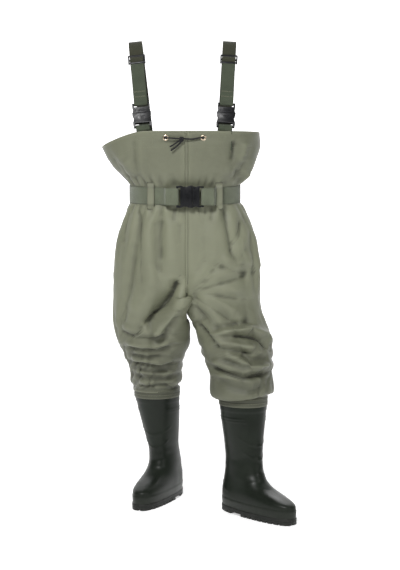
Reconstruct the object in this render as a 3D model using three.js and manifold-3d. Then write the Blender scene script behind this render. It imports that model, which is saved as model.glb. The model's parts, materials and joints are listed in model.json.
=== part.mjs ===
// Chest waders: a bib-and-trouser garment of coated cloth with webbing braces, a belt and moulded boots.
// Millimetres. +Z is up and the wearer faces -Y, so the wearer's left is +X.
// The origin is the centre of the base of the bounding box, on the floor under the boots.
import * as THREE from 'three';
import { mergeVertices } from 'three/addons/utils/BufferGeometryUtils.js';
import Module from 'manifold-3d';

const wasm = await Module();
wasm.setup();

// ---- Driving dimensions ----
const SEAM_GAP = 0.3; // between pieces that meet
const CLOTH = 3; // wall of the coated cloth and its lining
const INSEAM = 640; // floor to crotch
const RISE = 305; // crotch to the middle of the belt
const BIB = 181; // middle of the belt to the top hem
const WAIST_HALF_WIDTH = 164;
const HIP_HALF_WIDTH = 218;
const BIB_HALF_WIDTH = 238;
const BIB_SHIFT = 23; // the open bib leans towards the wearer's right
const CHEST_DEPTH = 142; // centre to the front of the bib
const BACK_DEPTH = 128;
const SQUARENESS = 2.3; // exponent of the torso's superellipse
const WING_DROP = 42; // how far the wearer's right corner of the bib sags
const BOOT_HEIGHT = 322;
const FOOT_LENGTH = 286;
const FOOT_WIDTH = 104;
const BOOT_WALL = 4;
const SOLE = 20; // outsole, from the floor to the upper
const INSOLE = 4;
const CUFF = 25; // welded band between the boot and the cloth
const CUFF_STEP = 2.5; // how far the band stands out of the boot
const KNEE_HEIGHT = 481;
const THIGH_END = 41; // from the knee axis up to the cloth that stays with the thigh
const SHIN_START = 41; // from the knee axis down to the cloth that stays with the shin
const THIGH_SLOPE = 0.225; // the thigh's lower edge rises towards the back of the knee
const SHIN_SLOPE = -0.2; // the shin's upper edge falls towards the back of the knee
const CROTCH_CLEARANCE = 4; // from the centre plane to each inner leg
const BELT_WIDTH = 50;
const BELT_THICKNESS = 2;
const BELT_GAP = 1.2; // belt to cloth
const BELT_SLOPE = 0.06; // the belt hangs lower in front
const BELT_LOOP_WIDTH = 22;
const BELT_LOOP_HEIGHT = 78;
const BELT_LOOP_THICKNESS = 1.5;
const BELT_RISE = 28; // the stretch of belt that leaves the cloth for the buckle
const BUCKLE_SHIFT = 10; // belt buckle, from the centre front
const BELT_BUCKLE_LENGTH = 80;
const STRAP_WIDTH = 40;
const STRAP_THICKNESS = 1.8;
const BRACE_BUCKLE_LENGTH = 75;
const BRACE_HEIGHT = 238; // hem to the end of the straight stretch of strap
const BRACE_SHOULDER = 48; // handle length of the curve over the shoulder
const FRONT_LEAN = 21.8; // strap to the vertical, degrees
const BACK_LEAN = 18;
const TAB = 13; // visible webbing between the hem and the buckle
const TAB_ROOT = 1.5; // the tab starts this far above the hem
const SLIDER_HEIGHT = 229.5; // along the strap, hem to the middle of the slider
const SLIDER_LENGTH = 28;
const ELASTIC = 60; // visible height of the elastic at the back
const ANCHOR = 55; // height of the webbing sewn inside the bib
const EYELET_HOLE = 5; // radius
const EYELET_FLANGE = 8.5; // radius
const EYELET_DROP = 19; // hem to the eyelet's centre
const EYELET_PLACES = [-60, 49]; // from the centre front, wearer's right and left
const EYELET_TURN = 0.08; // how far an eyelet faces round with the cloth, radians
const CORD_RADIUS = 2.2;
const KNOT_RADIUS = 7;
const LIMB_STEPS = 24; // facets around a leg or a boot

const WAIST_HEIGHT = INSEAM + RISE;
const BIB_HEIGHT = WAIST_HEIGHT + BIB;
const CUFF_TOP = BOOT_HEIGHT + SEAM_GAP + CUFF;
const rad = THREE.MathUtils.degToRad;
const lerp = THREE.MathUtils.lerp;
const smoothstep = THREE.MathUtils.smoothstep;

// ---- Materials ----
const FINISHES = {
  cloth: { color: 0x7d7f69, roughness: 0.75, metalness: 0 },
  webbing: { color: 0x46503a, roughness: 0.9, metalness: 0 },
  belt: { color: 0x646e5a, roughness: 0.9, metalness: 0 },
  plastic: { color: 0x202224, roughness: 0.45, metalness: 0 },
  boot: { color: 0x2c342e, roughness: 0.35, metalness: 0 },
  sole: { color: 0x232825, roughness: 0.6, metalness: 0 },
  brass: { color: 0xe1cdb4, roughness: 0.3, metalness: 1 },
  cord: { color: 0x141414, roughness: 0.9, metalness: 0 },
  lining: { color: 0x8a8672, roughness: 0.95, metalness: 0 },
};

function part(parent, name, geometry, finish) {
  const mesh = new THREE.Mesh(geometry, new THREE.MeshStandardMaterial(FINISHES[finish]));
  mesh.name = name;
  parent.add(mesh);
  return mesh;
}

// ---- Solids ----
function bare(geometry) {
  const plain = geometry.clone();
  plain.deleteAttribute('normal');
  plain.deleteAttribute('uv');
  return mergeVertices(plain);
}

function volumeOf(geometry) {
  const position = geometry.getAttribute('position');
  const corners = [new THREE.Vector3(), new THREE.Vector3(), new THREE.Vector3()];
  let volume = 0;
  for (let i = 0; i < geometry.index.count; i += 3) {
    corners.forEach((corner, k) => corner.fromBufferAttribute(position, geometry.index.getX(i + k)));
    volume += corners[0].dot(corners[1].cross(corners[2])) / 6;
  }
  return volume;
}

// Moves every vertex of a closed geometry to place(vertex), and keeps the faces pointing out.
function warped(geometry, place) {
  const merged = bare(geometry);
  const position = merged.getAttribute('position');
  const vertex = new THREE.Vector3();
  for (let i = 0; i < position.count; i += 1) {
    vertex.fromBufferAttribute(position, i);
    position.setXYZ(i, ...place(vertex).toArray());
  }
  if (volumeOf(merged) < 0) {
    const index = merged.index.array;
    for (let i = 0; i < index.length; i += 3) {
      [index[i + 1], index[i + 2]] = [index[i + 2], index[i + 1]];
    }
  }
  merged.computeVertexNormals();
  return merged;
}

// A sheet: place(along, through, across) with each from 0 to 1.
function sheet(alongSteps, acrossSteps, place) {
  const box = new THREE.BoxGeometry(1, 1, 1, alongSteps, 1, acrossSteps);
  return warped(box, (p) => place(p.x + 0.5, p.y + 0.5, p.z + 0.5));
}

// A closed profile of [radius, height] pairs turned full circle: place(angle, radius, height).
function turned(profile, steps, place) {
  const points = profile.map(([radius, height]) => new THREE.Vector2(radius, height));
  const lathe = new THREE.LatheGeometry(points, steps);
  return warped(lathe, (p) => place(Math.atan2(p.z, p.x), Math.hypot(p.x, p.z), p.y));
}

// A tube wall around a limb: place(angle, out, height), where out is 0 inside and 1 outside.
function sleeve(heights, steps, place) {
  const up = heights.map((height) => [2, height]);
  const down = [...heights].reverse().map((height) => [1, height]);
  return turned([...up, ...down, up[0]], steps, (angle, radius, height) => place(angle, radius - 1, height));
}

function block(x0, x1, y0, y1, z0, z1) {
  const box = new THREE.BoxGeometry(x1 - x0, y1 - y0, z1 - z0);
  return box.translate((x0 + x1) / 2, (y0 + y1) / 2, (z0 + z1) / 2);
}

function solidOf(geometry) {
  const plain = bare(geometry);
  return new wasm.Manifold(
    new wasm.Mesh({
      numProp: 3,
      vertProperties: new Float32Array(plain.getAttribute('position').array),
      triVerts: new Uint32Array(plain.index.array),
    }),
  );
}

function shaped(base, { add = [], cut = [] }) {
  let solid = solidOf(base);
  add.forEach((geometry) => {
    solid = solid.add(solidOf(geometry));
  });
  cut.forEach((geometry) => {
    solid = solid.subtract(solidOf(geometry));
  });
  const mesh = solid.getMesh();
  const geometry = new THREE.BufferGeometry();
  geometry.setAttribute('position', new THREE.BufferAttribute(new Float32Array(mesh.vertProperties), 3));
  geometry.setIndex(new THREE.BufferAttribute(new Uint32Array(mesh.triVerts), 1));
  geometry.computeVertexNormals();
  return geometry;
}

// ---- Torso ----
// Half widths to the wearer's right and left, and depths to the front and back.
const TORSO = [
  torsoStation(INSEAM, 0.98, 0, 0.79, 1),
  torsoStation(INSEAM + 0.2 * RISE, 1, 2, 0.83, 1.03),
  torsoStation(INSEAM + 0.55 * RISE, 0.945, 0, 0.85, 1.02),
  torsoStation(INSEAM + 0.78 * RISE, 0.855, -3, 0.85, 0.97),
  { z: WAIST_HEIGHT, right: WAIST_HALF_WIDTH + 5, left: WAIST_HALF_WIDTH - 7, front: 116, back: 112 },
  bibStation(0.3, 0.82, 0.9),
  bibStation(0.52, 0.93, 0.95),
  bibStation(0.77, 0.985, 0.98),
  bibStation(1, 1, 1),
];

function torsoStation(z, width, shift, front, back) {
  const half = HIP_HALF_WIDTH * width;
  return { z, right: half - shift, left: half + shift, front: CHEST_DEPTH * front, back: BACK_DEPTH * back };
}

function bibStation(share, width, depth) {
  const half = BIB_HALF_WIDTH * width;
  const shift = BIB_SHIFT * share;
  return {
    z: WAIST_HEIGHT + share * BIB,
    right: half + shift,
    left: half - shift,
    front: CHEST_DEPTH * depth,
    back: BACK_DEPTH * depth,
  };
}

function torsoSection(z) {
  const last = TORSO.length - 1;
  let i = 1;
  while (i < last && TORSO[i].z < z) i += 1;
  const [below, above] = [TORSO[i - 1], TORSO[i]];
  const share = (z - below.z) / (above.z - below.z);
  const size = (key) => lerp(below[key], above[key], share);
  return { right: size('right'), left: size('left'), front: size('front'), back: size('back') };
}

// A point of the torso: the angle runs from the wearer's left over the back, out is off the surface.
function torsoPoint(angle, z, out = 0) {
  const section = torsoSection(z);
  const [c, s] = [Math.cos(angle), Math.sin(angle)];
  const reachX = (c < 0 ? section.right : section.left) + out;
  const reachY = (s < 0 ? section.front : section.back) + out;
  const bend = 2 / SQUARENESS;
  const x = reachX * Math.sign(c) * Math.abs(c) ** bend;
  const y = reachY * Math.sign(s) * Math.abs(s) ** bend;
  return new THREE.Vector3(x, y, z);
}

// The angle of the torso at a given x, on the front or on the back, for a point that far out.
function angleAt(x, z, onBack = false, out = 0) {
  const section = torsoSection(z);
  const reach = (x < 0 ? section.right : section.left) + out;
  const c = Math.sign(x) * (Math.abs(x) / reach) ** (SQUARENESS / 2);
  return Math.acos(c) * (onBack ? 1 : -1);
}

function hemHeight(angle) {
  const towardsRight = Math.max(0, -Math.cos(angle));
  return BIB_HEIGHT - WING_DROP * towardsRight ** 4;
}

const BIB_ROWS = [0, 0.15, 0.3, 0.52, 0.77, 1];

function torsoPanel(from, to, sideX, sideY) {
  const lower = TORSO.filter((station) => station.z < WAIST_HEIGHT).length;
  const rows = lower + BIB_ROWS.length - 1;
  const height = (row, angle) => {
    if (row < lower) return TORSO[row].z + (row === 0 ? SEAM_GAP : 0);
    return lerp(WAIST_HEIGHT, hemHeight(angle), BIB_ROWS[row - lower]);
  };
  return sheet(10, rows, (along, through, across) => {
    const angle = lerp(from, to, along);
    const point = torsoPoint(angle, height(Math.round(across * rows), angle), (through - 1) * CLOTH);
    return point.add(new THREE.Vector3(sideX * SEAM_GAP, sideY * SEAM_GAP, 0).divideScalar(2));
  });
}

// A flat strip sewn to the torso: from x0 to x1, z0 to z1, standing off by out(height share).
function torsoStrip(x0, x1, z0, z1, thickness, out, { onBack = false, rows = 2 } = {}) {
  const middle = (z0 + z1) / 2;
  const [from, to] = [angleAt(x0, middle, onBack), angleAt(x1, middle, onBack)];
  return sheet(3, rows, (along, through, across) =>
    torsoPoint(lerp(from, to, along), lerp(z0, z1, across), out(across) + through * thickness),
  );
}

// ---- Legs and boots ----
// Each foot: the ankle's place on the floor plan, its toe-out angle, and the centre of the boot's top.
// Widths run down the leg from the crotch to the cuff as [share, half width, half depth, bow x, bow y].
const SIDES = {
  right: {
    sign: -1,
    ankle: new THREE.Vector2(-67, 108),
    toeOut: 21,
    top: new THREE.Vector2(-94, 95),
    widths: [
      [0, 106, 120, 0, 0],
      [0.27, 112, 112, 1, -17],
      [0.48, 106, 106, 1, -14],
      [0.65, 84, 94, 1, -5],
      [0.82, 76, 86, -5, 0],
      [1, 68, 76, 0, 0],
    ],
  },
  left: {
    sign: 1,
    ankle: new THREE.Vector2(168, -95),
    toeOut: 40,
    top: new THREE.Vector2(168, -62),
    widths: [
      [0, 106, 120, 0, 0],
      [0.27, 104, 110, 3, 4],
      [0.48, 103, 104, 9, 1],
      [0.65, 98, 98, 5, 0],
      [0.82, 90, 92, 3, 0],
      [1, 70, 76, 0, 0],
    ],
  },
};

function legSection(side, z) {
  const share = THREE.MathUtils.clamp((INSEAM - z) / (INSEAM - CUFF_TOP), 0, 1);
  const { widths, top, sign } = side;
  let i = 1;
  while (i < widths.length - 1 && widths[i][0] < share) i += 1;
  const t = (share - widths[i - 1][0]) / (widths[i][0] - widths[i - 1][0]);
  const value = (k) => lerp(widths[i - 1][k], widths[i][k], t);
  return {
    share,
    x: lerp((sign * HIP_HALF_WIDTH) / 2, top.x, share) + value(3),
    y: lerp(0, top.y, share) + value(4),
    halfWidth: value(1),
    halfDepth: value(2),
  };
}

// A point of the leg on a section that is tilted front to back by slope.
function legPoint(side, angle, z, slope, out) {
  const section = legSection(side, z);
  const [c, s] = [Math.cos(angle), Math.sin(angle)];
  const round = new THREE.Vector2(
    section.x + side.sign * (section.halfWidth + out) * c,
    section.y + (section.halfDepth + out) * s,
  );
  const torso = torsoSection(INSEAM);
  const bend = 2 / SQUARENESS;
  const inner = CROTCH_CLEARANCE - out;
  const reach = (side.sign < 0 ? torso.right : torso.left) + out;
  const depth = (s < 0 ? torso.front : torso.back) + out;
  const split = new THREE.Vector2(
    side.sign * (inner + (reach - inner) * Math.max(0, c) ** bend),
    depth * Math.sign(s) * Math.abs(s) ** bend,
  );
  split.lerp(round, smoothstep(section.share, 0, side.widths[1][0]));
  return new THREE.Vector3(split.x, split.y, z + slope * (split.y - section.y));
}

function legSleeve(side, zTop, slopeTop, zEnd, slopeEnd, rows) {
  const heights = Array.from({ length: rows + 1 }, (_, row) => row / rows);
  return sleeve(heights, LIMB_STEPS, (angle, out, share) =>
    legPoint(side, angle, lerp(zEnd, zTop, share), lerp(slopeEnd, slopeTop, share), (out - 1) * CLOTH),
  );
}

// The boot's sections from the sole up: height, reach to the toe, to the heel, and half width.
const HEEL = 74;
const TOE = FOOT_LENGTH - HEEL;
const BOOT = [
  { z: SOLE, toe: TOE - 2, heel: HEEL, half: FOOT_WIDTH / 2 - 2 },
  { z: 45, toe: TOE, heel: HEEL + 3, half: FOOT_WIDTH / 2 + 1 },
  { z: 57, toe: TOE * 0.98, heel: HEEL + 3, half: FOOT_WIDTH / 2 + 0.5 },
  { z: 69, toe: TOE * 0.78, heel: HEEL + 3, half: FOOT_WIDTH / 2 },
  { z: 83, toe: TOE * 0.54, heel: HEEL, half: FOOT_WIDTH / 2 - 3 },
  { z: 102, toe: TOE * 0.4, heel: HEEL - 4, half: FOOT_WIDTH / 2 - 6 },
  { z: 130, toe: 74, heel: HEEL - 9, half: FOOT_WIDTH / 2 - 9 },
  { z: 165, toe: 71, heel: 64, half: FOOT_WIDTH / 2 - 10 },
  { z: 220, toe: 70, heel: 67, half: 52 },
  { z: 280, toe: 73, heel: 73, half: 62 },
  { z: BOOT_HEIGHT, toe: 74, heel: 74, half: 67 },
];
const ANKLE_HEIGHT = 110;

function bootSection(z) {
  let i = 1;
  while (i < BOOT.length - 1 && BOOT[i].z < z) i += 1;
  const share = THREE.MathUtils.clamp((z - BOOT[i - 1].z) / (BOOT[i].z - BOOT[i - 1].z), 0, 1);
  const size = (key) => lerp(BOOT[i - 1][key], BOOT[i][key], share);
  return { toe: size('toe'), heel: size('heel'), half: size('half') };
}

function bootCentre(side, z) {
  const share = THREE.MathUtils.clamp((z - ANKLE_HEIGHT) / (BOOT_HEIGHT - ANKLE_HEIGHT), 0, 1);
  return side.ankle.clone().lerp(side.top, share);
}

// From the foot's own axes, forward to the toe and across, to the floor plan.
function footPlan(side, centre, forward, across, z) {
  const yaw = side.sign * rad(side.toeOut);
  const x = forward * Math.sin(yaw) + across * Math.cos(yaw);
  const y = -forward * Math.cos(yaw) + across * Math.sin(yaw);
  return new THREE.Vector3(centre.x + x, centre.y + y, z);
}

function bootPoint(side, angle, z, out, share = 1) {
  const section = bootSection(z);
  const [c, s] = [Math.cos(angle), Math.sin(angle)];
  const low = 1 - smoothstep(z, 70, 150);
  const bend = lerp(1, 0.8, low);
  const forward = (c > 0 ? section.toe + out : section.heel + out) * Math.sign(c) * Math.abs(c) ** bend;
  const narrow = 1 - 0.16 * low * smoothstep(-forward, -40, HEEL);
  const across = (section.half + out) * narrow * Math.sign(s) * Math.abs(s) ** bend;
  return footPlan(side, bootCentre(side, z), forward * share, across * share, z);
}

function bootUpper(side) {
  const floor = SOLE + SEAM_GAP;
  const heights = BOOT.map((section) => section.z).slice(1);
  const inside = [floor + BOOT_WALL, ...heights];
  const outside = [...[...heights].reverse(), floor];
  const profile = [[0, inside[0]], ...inside.map((z) => [1, z]), ...outside.map((z) => [2, z]), [0, floor]];
  const shell = turned(profile, LIMB_STEPS, (angle, radius, z) => {
    if (radius <= 1) return bootPoint(side, angle, z, -BOOT_WALL, radius);
    return bootPoint(side, angle, z, (radius - 2) * BOOT_WALL);
  });
  const lug = warped(block(-HEEL - 8, -HEEL + 1, -13, 13, 36, 46), (p) =>
    footPlan(side, side.ankle, p.x, p.y, p.z),
  );
  return shaped(shell, { add: [lug] });
}

// A slab of the foot's outline at height z, grown by out, from z0 to z1.
function footSlab(side, out, z0, z1) {
  return turned([[0, z0], [1, z0], [1, z1], [0, z1]], 30, (angle, radius, z) => {
    const point = bootPoint(side, angle, SOLE, out, radius);
    point.z = z;
    return point;
  });
}

function outsole(side) {
  const groove = (from, to, depth) =>
    warped(block(from, to, -FOOT_WIDTH, FOOT_WIDTH, -5, depth), (p) =>
      footPlan(side, side.ankle, p.x, p.y, p.z),
    );
  const arch = groove(-6, 42, 9);
  const forefoot = [62, 82, 102, 122, 142, 162, 182].map((at) => groove(at, at + 6, 5));
  const heel = [-58, -22].map((at) => groove(at, at + 6, 5));
  return shaped(footSlab(side, 3, 0, SOLE), { cut: [arch, ...forefoot, ...heel] });
}

// ---- Side-release buckle ----
// Its own axes: X across the webbing, Y from the socket to the plug, Z outward.
const BUCKLE_MOUTH = 8; // the socket's open end, from the buckle's middle
const BUCKLE_RIM = 6.5; // the socket's side wall beyond the webbing
const BAR = 5; // the webbing bars
const BAR_HALF = 2.6; // half the height of a webbing bar
const SLOT = 7; // the slots that the webbing passes
const SHELL = 2.5;
const PRONG_CLEARANCE = 0.6;
const EAR_RAMP = 12;
const EAR_RISE = 2;
const EAR_WINDOW = 16; // along the socket's side, for the prong's ear
const PRONG_PIVOT_Y = 5.2; // the prongs' hinges, from the buckle's middle towards the plug
const PRONG_HALF = 2;

function buckleSocket(width, length, thickness) {
  const half = width / 2 + 1;
  const inner = thickness / 2 - SHELL;
  const end = -length / 2;
  const body = block(-half - BUCKLE_RIM, half + BUCKLE_RIM, end, BUCKLE_MOUTH, -thickness / 2, thickness / 2);
  const barTop = block(-half, half, end - 1, end + BAR + 1, BAR_HALF, thickness);
  const barUnder = block(-half, half, end - 1, end + BAR + 1, -thickness, -BAR_HALF);
  const slot = block(-half, half, end + BAR, end + BAR + SLOT, -thickness, thickness);
  const cavity = block(-half, half, end + BAR + SLOT + SHELL + 1, BUCKLE_MOUTH + 1, -inner, inner);
  const windows = block(-width, width, end + 18, end + 18 + EAR_WINDOW, -inner, inner);
  return shaped(body, { cut: [barTop, barUnder, slot, cavity, windows] });
}

function bucklePlug(width, length, thickness) {
  const half = width / 2 + 1;
  const inner = thickness / 2 - SHELL - PRONG_CLEARANCE;
  const end = length / 2;
  const tongue = width * 0.14;
  const depth = thickness * 0.4;
  const base = block(-half - BAR, half + BAR, BUCKLE_MOUTH + SEAM_GAP, end, -depth, depth);
  const guide = block(-tongue, tongue, -length / 2 + 20, BUCKLE_MOUTH + 2, -inner, inner);
  const slot = block(-half, half, end - BAR - SLOT, end - BAR, -thickness, thickness);
  const barTop = block(-half, half, end - BAR - 1, end + 1, BAR_HALF, thickness);
  const barUnder = block(-half, half, end - BAR - 1, end + 1, -thickness, -BAR_HALF);
  return shaped(base, { add: [guide], cut: [slot, barTop, barUnder] });
}

function prongPivot(width) {
  return width / 2 - 4;
}

// One sprung prong, on the +X side: its root turns about the pivot, its ear fills the socket's window.
function buckleProng(width, length, thickness, sign) {
  const wall = width / 2 + 1;
  const inner = thickness / 2 - SHELL - PRONG_CLEARANCE;
  const pivot = prongPivot(width);
  const tip = -length / 2 + 19;
  const outline = new THREE.Shape();
  outline.moveTo(pivot - PRONG_HALF, PRONG_PIVOT_Y);
  outline.lineTo(pivot - PRONG_HALF, tip);
  outline.lineTo(wall - PRONG_CLEARANCE, tip);
  outline.lineTo(wall + EAR_RISE, tip + 2);
  outline.lineTo(wall - PRONG_CLEARANCE, tip + 2 + EAR_RAMP);
  outline.lineTo(pivot + PRONG_HALF, tip + 5 + EAR_RAMP);
  outline.lineTo(pivot + PRONG_HALF, PRONG_PIVOT_Y);
  outline.absarc(pivot, PRONG_PIVOT_Y, PRONG_HALF, 0, Math.PI, false);
  const extrusion = { depth: 2 * inner, bevelEnabled: false, curveSegments: 4 };
  const prong = new THREE.ExtrudeGeometry(outline, extrusion);
  return warped(prong, (p) => new THREE.Vector3(sign * p.x, p.y, p.z - inner));
}

// Webbing folded around a buckle's bar, between y0 and y1 of the bar.
function webbingLoop(width, thickness, y0, y1) {
  const [low, high] = [BAR_HALF + SEAM_GAP, BAR_HALF + SEAM_GAP + thickness];
  const wrap = SEAM_GAP + thickness;
  const around = block(-width / 2, width / 2, y0 - wrap, y1 + wrap, -high, high);
  const bar = block(-width, width, y0 - SEAM_GAP, y1 + SEAM_GAP, -low, low);
  return shaped(around, { cut: [bar] });
}

// ---- The waders ----
const waders = new THREE.Group();

function addTorso() {
  const quarter = Math.PI / 2;
  const [rightSeat, leftSeat] = eyeletPlaces().map(eyeletSeat);
  const frontRight = torsoPanel(-2 * quarter, -quarter, -1, -1);
  const frontLeft = torsoPanel(-quarter, 0, 1, -1);
  part(waders, 'front_panel_right', shaped(frontRight, { cut: rightSeat }), 'cloth');
  part(waders, 'front_panel_left', shaped(frontLeft, { cut: leftSeat }), 'cloth');
  part(waders, 'back_panel_left', torsoPanel(0, quarter, 1, 1), 'cloth');
  part(waders, 'back_panel_right', torsoPanel(quarter, 2 * quarter, -1, 1), 'cloth');
  const torso = torsoSection(INSEAM);
  const reach = CROTCH_CLEARANCE - SEAM_GAP;
  const top = INSEAM - SEAM_GAP;
  const gusset = block(-reach, reach, -torso.front + CLOTH, torso.back - CLOTH, top - CLOTH, top);
  part(waders, 'crotch_gusset', gusset, 'cloth');
}

function eyeletPlaces() {
  const z = BIB_HEIGHT - EYELET_DROP;
  return EYELET_PLACES.map((x) => torsoPoint(angleAt(x, z), z));
}

// Sets a solid turned about Z, its height outward, square to the bib at an eyelet's place.
function atEyelet(solid, place) {
  solid.rotateX(Math.PI / 2);
  solid.rotateZ(EYELET_TURN * Math.sign(place.x));
  return solid.translate(place.x, place.y, place.z);
}

function lathed(profile, steps) {
  return turned(profile, steps, (angle, radius, height) =>
    new THREE.Vector3(radius * Math.cos(angle), radius * Math.sin(angle), height),
  );
}

// What an eyelet takes out of the bib: the hole, and a flat seat for the flange on each face.
function eyeletSeat(place) {
  const disc = (radius, low, high) => lathed([[0, low], [radius, low], [radius, high], [0, high]], 16);
  const seats = [
    disc(EYELET_HOLE + SEAM_GAP, -20, 20),
    disc(EYELET_FLANGE + SEAM_GAP, -SEAM_GAP, 10),
    disc(EYELET_FLANGE + SEAM_GAP, -CLOTH - 10, -CLOTH + SEAM_GAP),
  ];
  return seats.map((seat) => atEyelet(seat, place));
}

function addEyelets() {
  const rim = 0.8;
  const bore = EYELET_HOLE - 1;
  const profile = [
    [bore, -CLOTH - rim],
    [EYELET_FLANGE - 1.5, -CLOTH - rim],
    [EYELET_FLANGE - 1.5, -CLOTH],
    [EYELET_HOLE, -CLOTH],
    [EYELET_HOLE, 0],
    [EYELET_FLANGE, 0],
    [EYELET_FLANGE - 0.4, rim],
    [bore + 0.7, rim],
    [bore, 0.2],
    [bore, -CLOTH - rim],
  ];
  eyeletPlaces().forEach((place) => {
    part(waders, place.x < 0 ? 'eyelet_right' : 'eyelet_left', atEyelet(lathed(profile, 16), place), 'brass');
  });
}

function addLegs() {
  const thighEnd = KNEE_HEIGHT + THIGH_END;
  const shinStart = KNEE_HEIGHT - SHIN_START;
  Object.entries(SIDES).forEach(([name, side]) => {
    const thigh = legSleeve(side, INSEAM - SEAM_GAP, 0, thighEnd, THIGH_SLOPE, 4);
    part(waders, `thigh_${name}`, thigh, 'cloth');
    const knee = legSleeve(side, thighEnd - SEAM_GAP, THIGH_SLOPE, shinStart + SEAM_GAP, SHIN_SLOPE, 3);
    part(waders, `knee_${name}`, knee, 'cloth');
    const shin = legSleeve(side, shinStart, SHIN_SLOPE, CUFF_TOP + SEAM_GAP, 0, 4);
    part(waders, `lower_leg_${name}`, shin, 'cloth');
    const cuff = sleeve([BOOT_HEIGHT + SEAM_GAP, CUFF_TOP], LIMB_STEPS, (angle, out, z) => {
      const turn = angle - side.sign * rad(side.toeOut);
      const point = bootPoint(side, turn, BOOT_HEIGHT, CUFF_STEP + (out - 1) * (CUFF_STEP + BOOT_WALL));
      point.z = z;
      return point;
    });
    part(waders, `cuff_band_${name}`, cuff, 'cloth');
    part(waders, `boot_upper_${name}`, bootUpper(side), 'boot');
    const insoleFloor = SOLE + 2 * SEAM_GAP + BOOT_WALL;
    const insole = footSlab(side, -BOOT_WALL - 3, insoleFloor, insoleFloor + INSOLE);
    part(waders, `insole_${name}`, insole, 'lining');
    part(waders, `outsole_${name}`, outsole(side), 'sole');
  });
}

const BELT_BUCKLE_THICKNESS = 13;
const BELT_LOOPS = {
  front_right: { x: -105, onBack: false },
  front_left: { x: 95, onBack: false },
  back_right: { x: -95, onBack: true },
  back_left: { x: 95, onBack: true },
};

function beltHeight(y) {
  return WAIST_HEIGHT + BELT_SLOPE * y;
}

// The buckle lies clear of the bib that flares out above the belt.
function beltBuckleDepth() {
  const halfHeight = BELT_WIDTH / 2 + 1 + BUCKLE_RIM;
  return torsoSection(WAIST_HEIGHT + halfHeight).front + BELT_GAP + BELT_BUCKLE_THICKNESS / 2;
}

function beltBuckleFrame() {
  const frame = new THREE.Group();
  frame.position.set(BUCKLE_SHIFT, -beltBuckleDepth(), beltHeight(-beltBuckleDepth()));
  // X of the buckle runs down, Y to the wearer's left and Z forward.
  frame.quaternion.setFromRotationMatrix(
    new THREE.Matrix4().makeBasis(
      new THREE.Vector3(0, 0, -1),
      new THREE.Vector3(1, 0, 0),
      new THREE.Vector3(0, -1, 0),
    ),
  );
  frame.updateMatrix();
  return frame;
}

// Belt webbing from one angle to another; it rises off the cloth to the buckle at the ends named.
function beltWebbing(from, to, steps, rise) {
  return sheet(steps, 2, (along, through, across) => {
    const angle = lerp(from, to, along);
    const z = beltHeight(torsoPoint(angle, WAIST_HEIGHT).y) + (across - 0.5) * BELT_WIDTH;
    const out = BELT_GAP + rise(angle) + through * BELT_THICKNESS;
    return torsoPoint(angle, z, out);
  });
}

function addBelt() {
  const frame = beltBuckleFrame();
  waders.add(frame);
  const [width, length, thickness] = [BELT_WIDTH, BELT_BUCKLE_LENGTH, BELT_BUCKLE_THICKNESS];
  const half = length / 2;
  part(frame, 'belt_buckle_socket', buckleSocket(width, length, thickness), 'plastic');
  part(frame, 'belt_buckle_plug', bucklePlug(width, length, thickness), 'plastic');
  part(frame, 'belt_prong_upper', buckleProng(width, length, thickness, -1), 'plastic');
  part(frame, 'belt_prong_lower', buckleProng(width, length, thickness, 1), 'plastic');

  const z = frame.position.z;
  const standOff = beltBuckleDepth() - torsoSection(WAIST_HEIGHT).front;
  const lift = standOff - BELT_GAP - BELT_THICKNESS / 2;
  const socketEnd = BUCKLE_SHIFT - half - SEAM_GAP - BELT_THICKNESS / 2;
  const plugEnd = BUCKLE_SHIFT + half + SEAM_GAP + BELT_THICKNESS / 2;
  const rise = (angle) => {
    const x = torsoPoint(angle, z).x;
    const onFront = Math.sin(angle) < 0;
    const away = x < BUCKLE_SHIFT ? socketEnd - x : x - plugEnd;
    return onFront ? lift * (1 - smoothstep(away, 0, BELT_RISE)) : 0;
  };
  const socketAngle = angleAt(socketEnd, z, false, standOff);
  const plugAngle = angleAt(plugEnd, z, false, standOff);
  const joint = angleAt(plugEnd + BELT_RISE, z);
  const seam = SEAM_GAP / torsoSection(z).left;
  const fold = (y0, y1) => webbingLoop(width, BELT_THICKNESS, y0, y1).applyMatrix4(frame.matrix);
  const around = beltWebbing(socketAngle, joint - 2 * Math.PI + 2 * seam, 48, rise);
  part(waders, 'belt_webbing', shaped(around, { add: [fold(-half, -half + BAR)] }), 'belt');
  const front = beltWebbing(joint, plugAngle, 6, rise);
  part(waders, 'belt_webbing_front', shaped(front, { add: [fold(half - BAR, half)] }), 'belt');

  Object.entries(BELT_LOOPS).forEach(([place, { x, onBack }]) => {
    const centre = torsoPoint(angleAt(x, WAIST_HEIGHT, onBack), WAIST_HEIGHT);
    const middle = beltHeight(centre.y);
    const lifted = 4 * BELT_GAP + BELT_THICKNESS;
    const out = (share) => SEAM_GAP + lifted * smoothstep(0.5 - Math.abs(share - 0.5), 0.02, 0.13);
    const strip = torsoStrip(
      x - BELT_LOOP_WIDTH / 2,
      x + BELT_LOOP_WIDTH / 2,
      middle - BELT_LOOP_HEIGHT / 2,
      middle + BELT_LOOP_HEIGHT / 2,
      BELT_LOOP_THICKNESS,
      out,
      { onBack, rows: 12 },
    );
    part(waders, `belt_loop_${place}`, strip, 'cloth');
  });
}

// ---- Braces ----
const BRACES = {
  right: { x: -125, outward: 6 },
  left: { x: 112, outward: 3.2 },
};
const BRACE_BUCKLE_THICKNESS = 12;
const FRONT_STRAP_END = 198; // along the strap, where the stretch between plug and slider ends
const SHIRT_GAP = 0.5; // between the bib's inside and the webbing sewn to it

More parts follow.
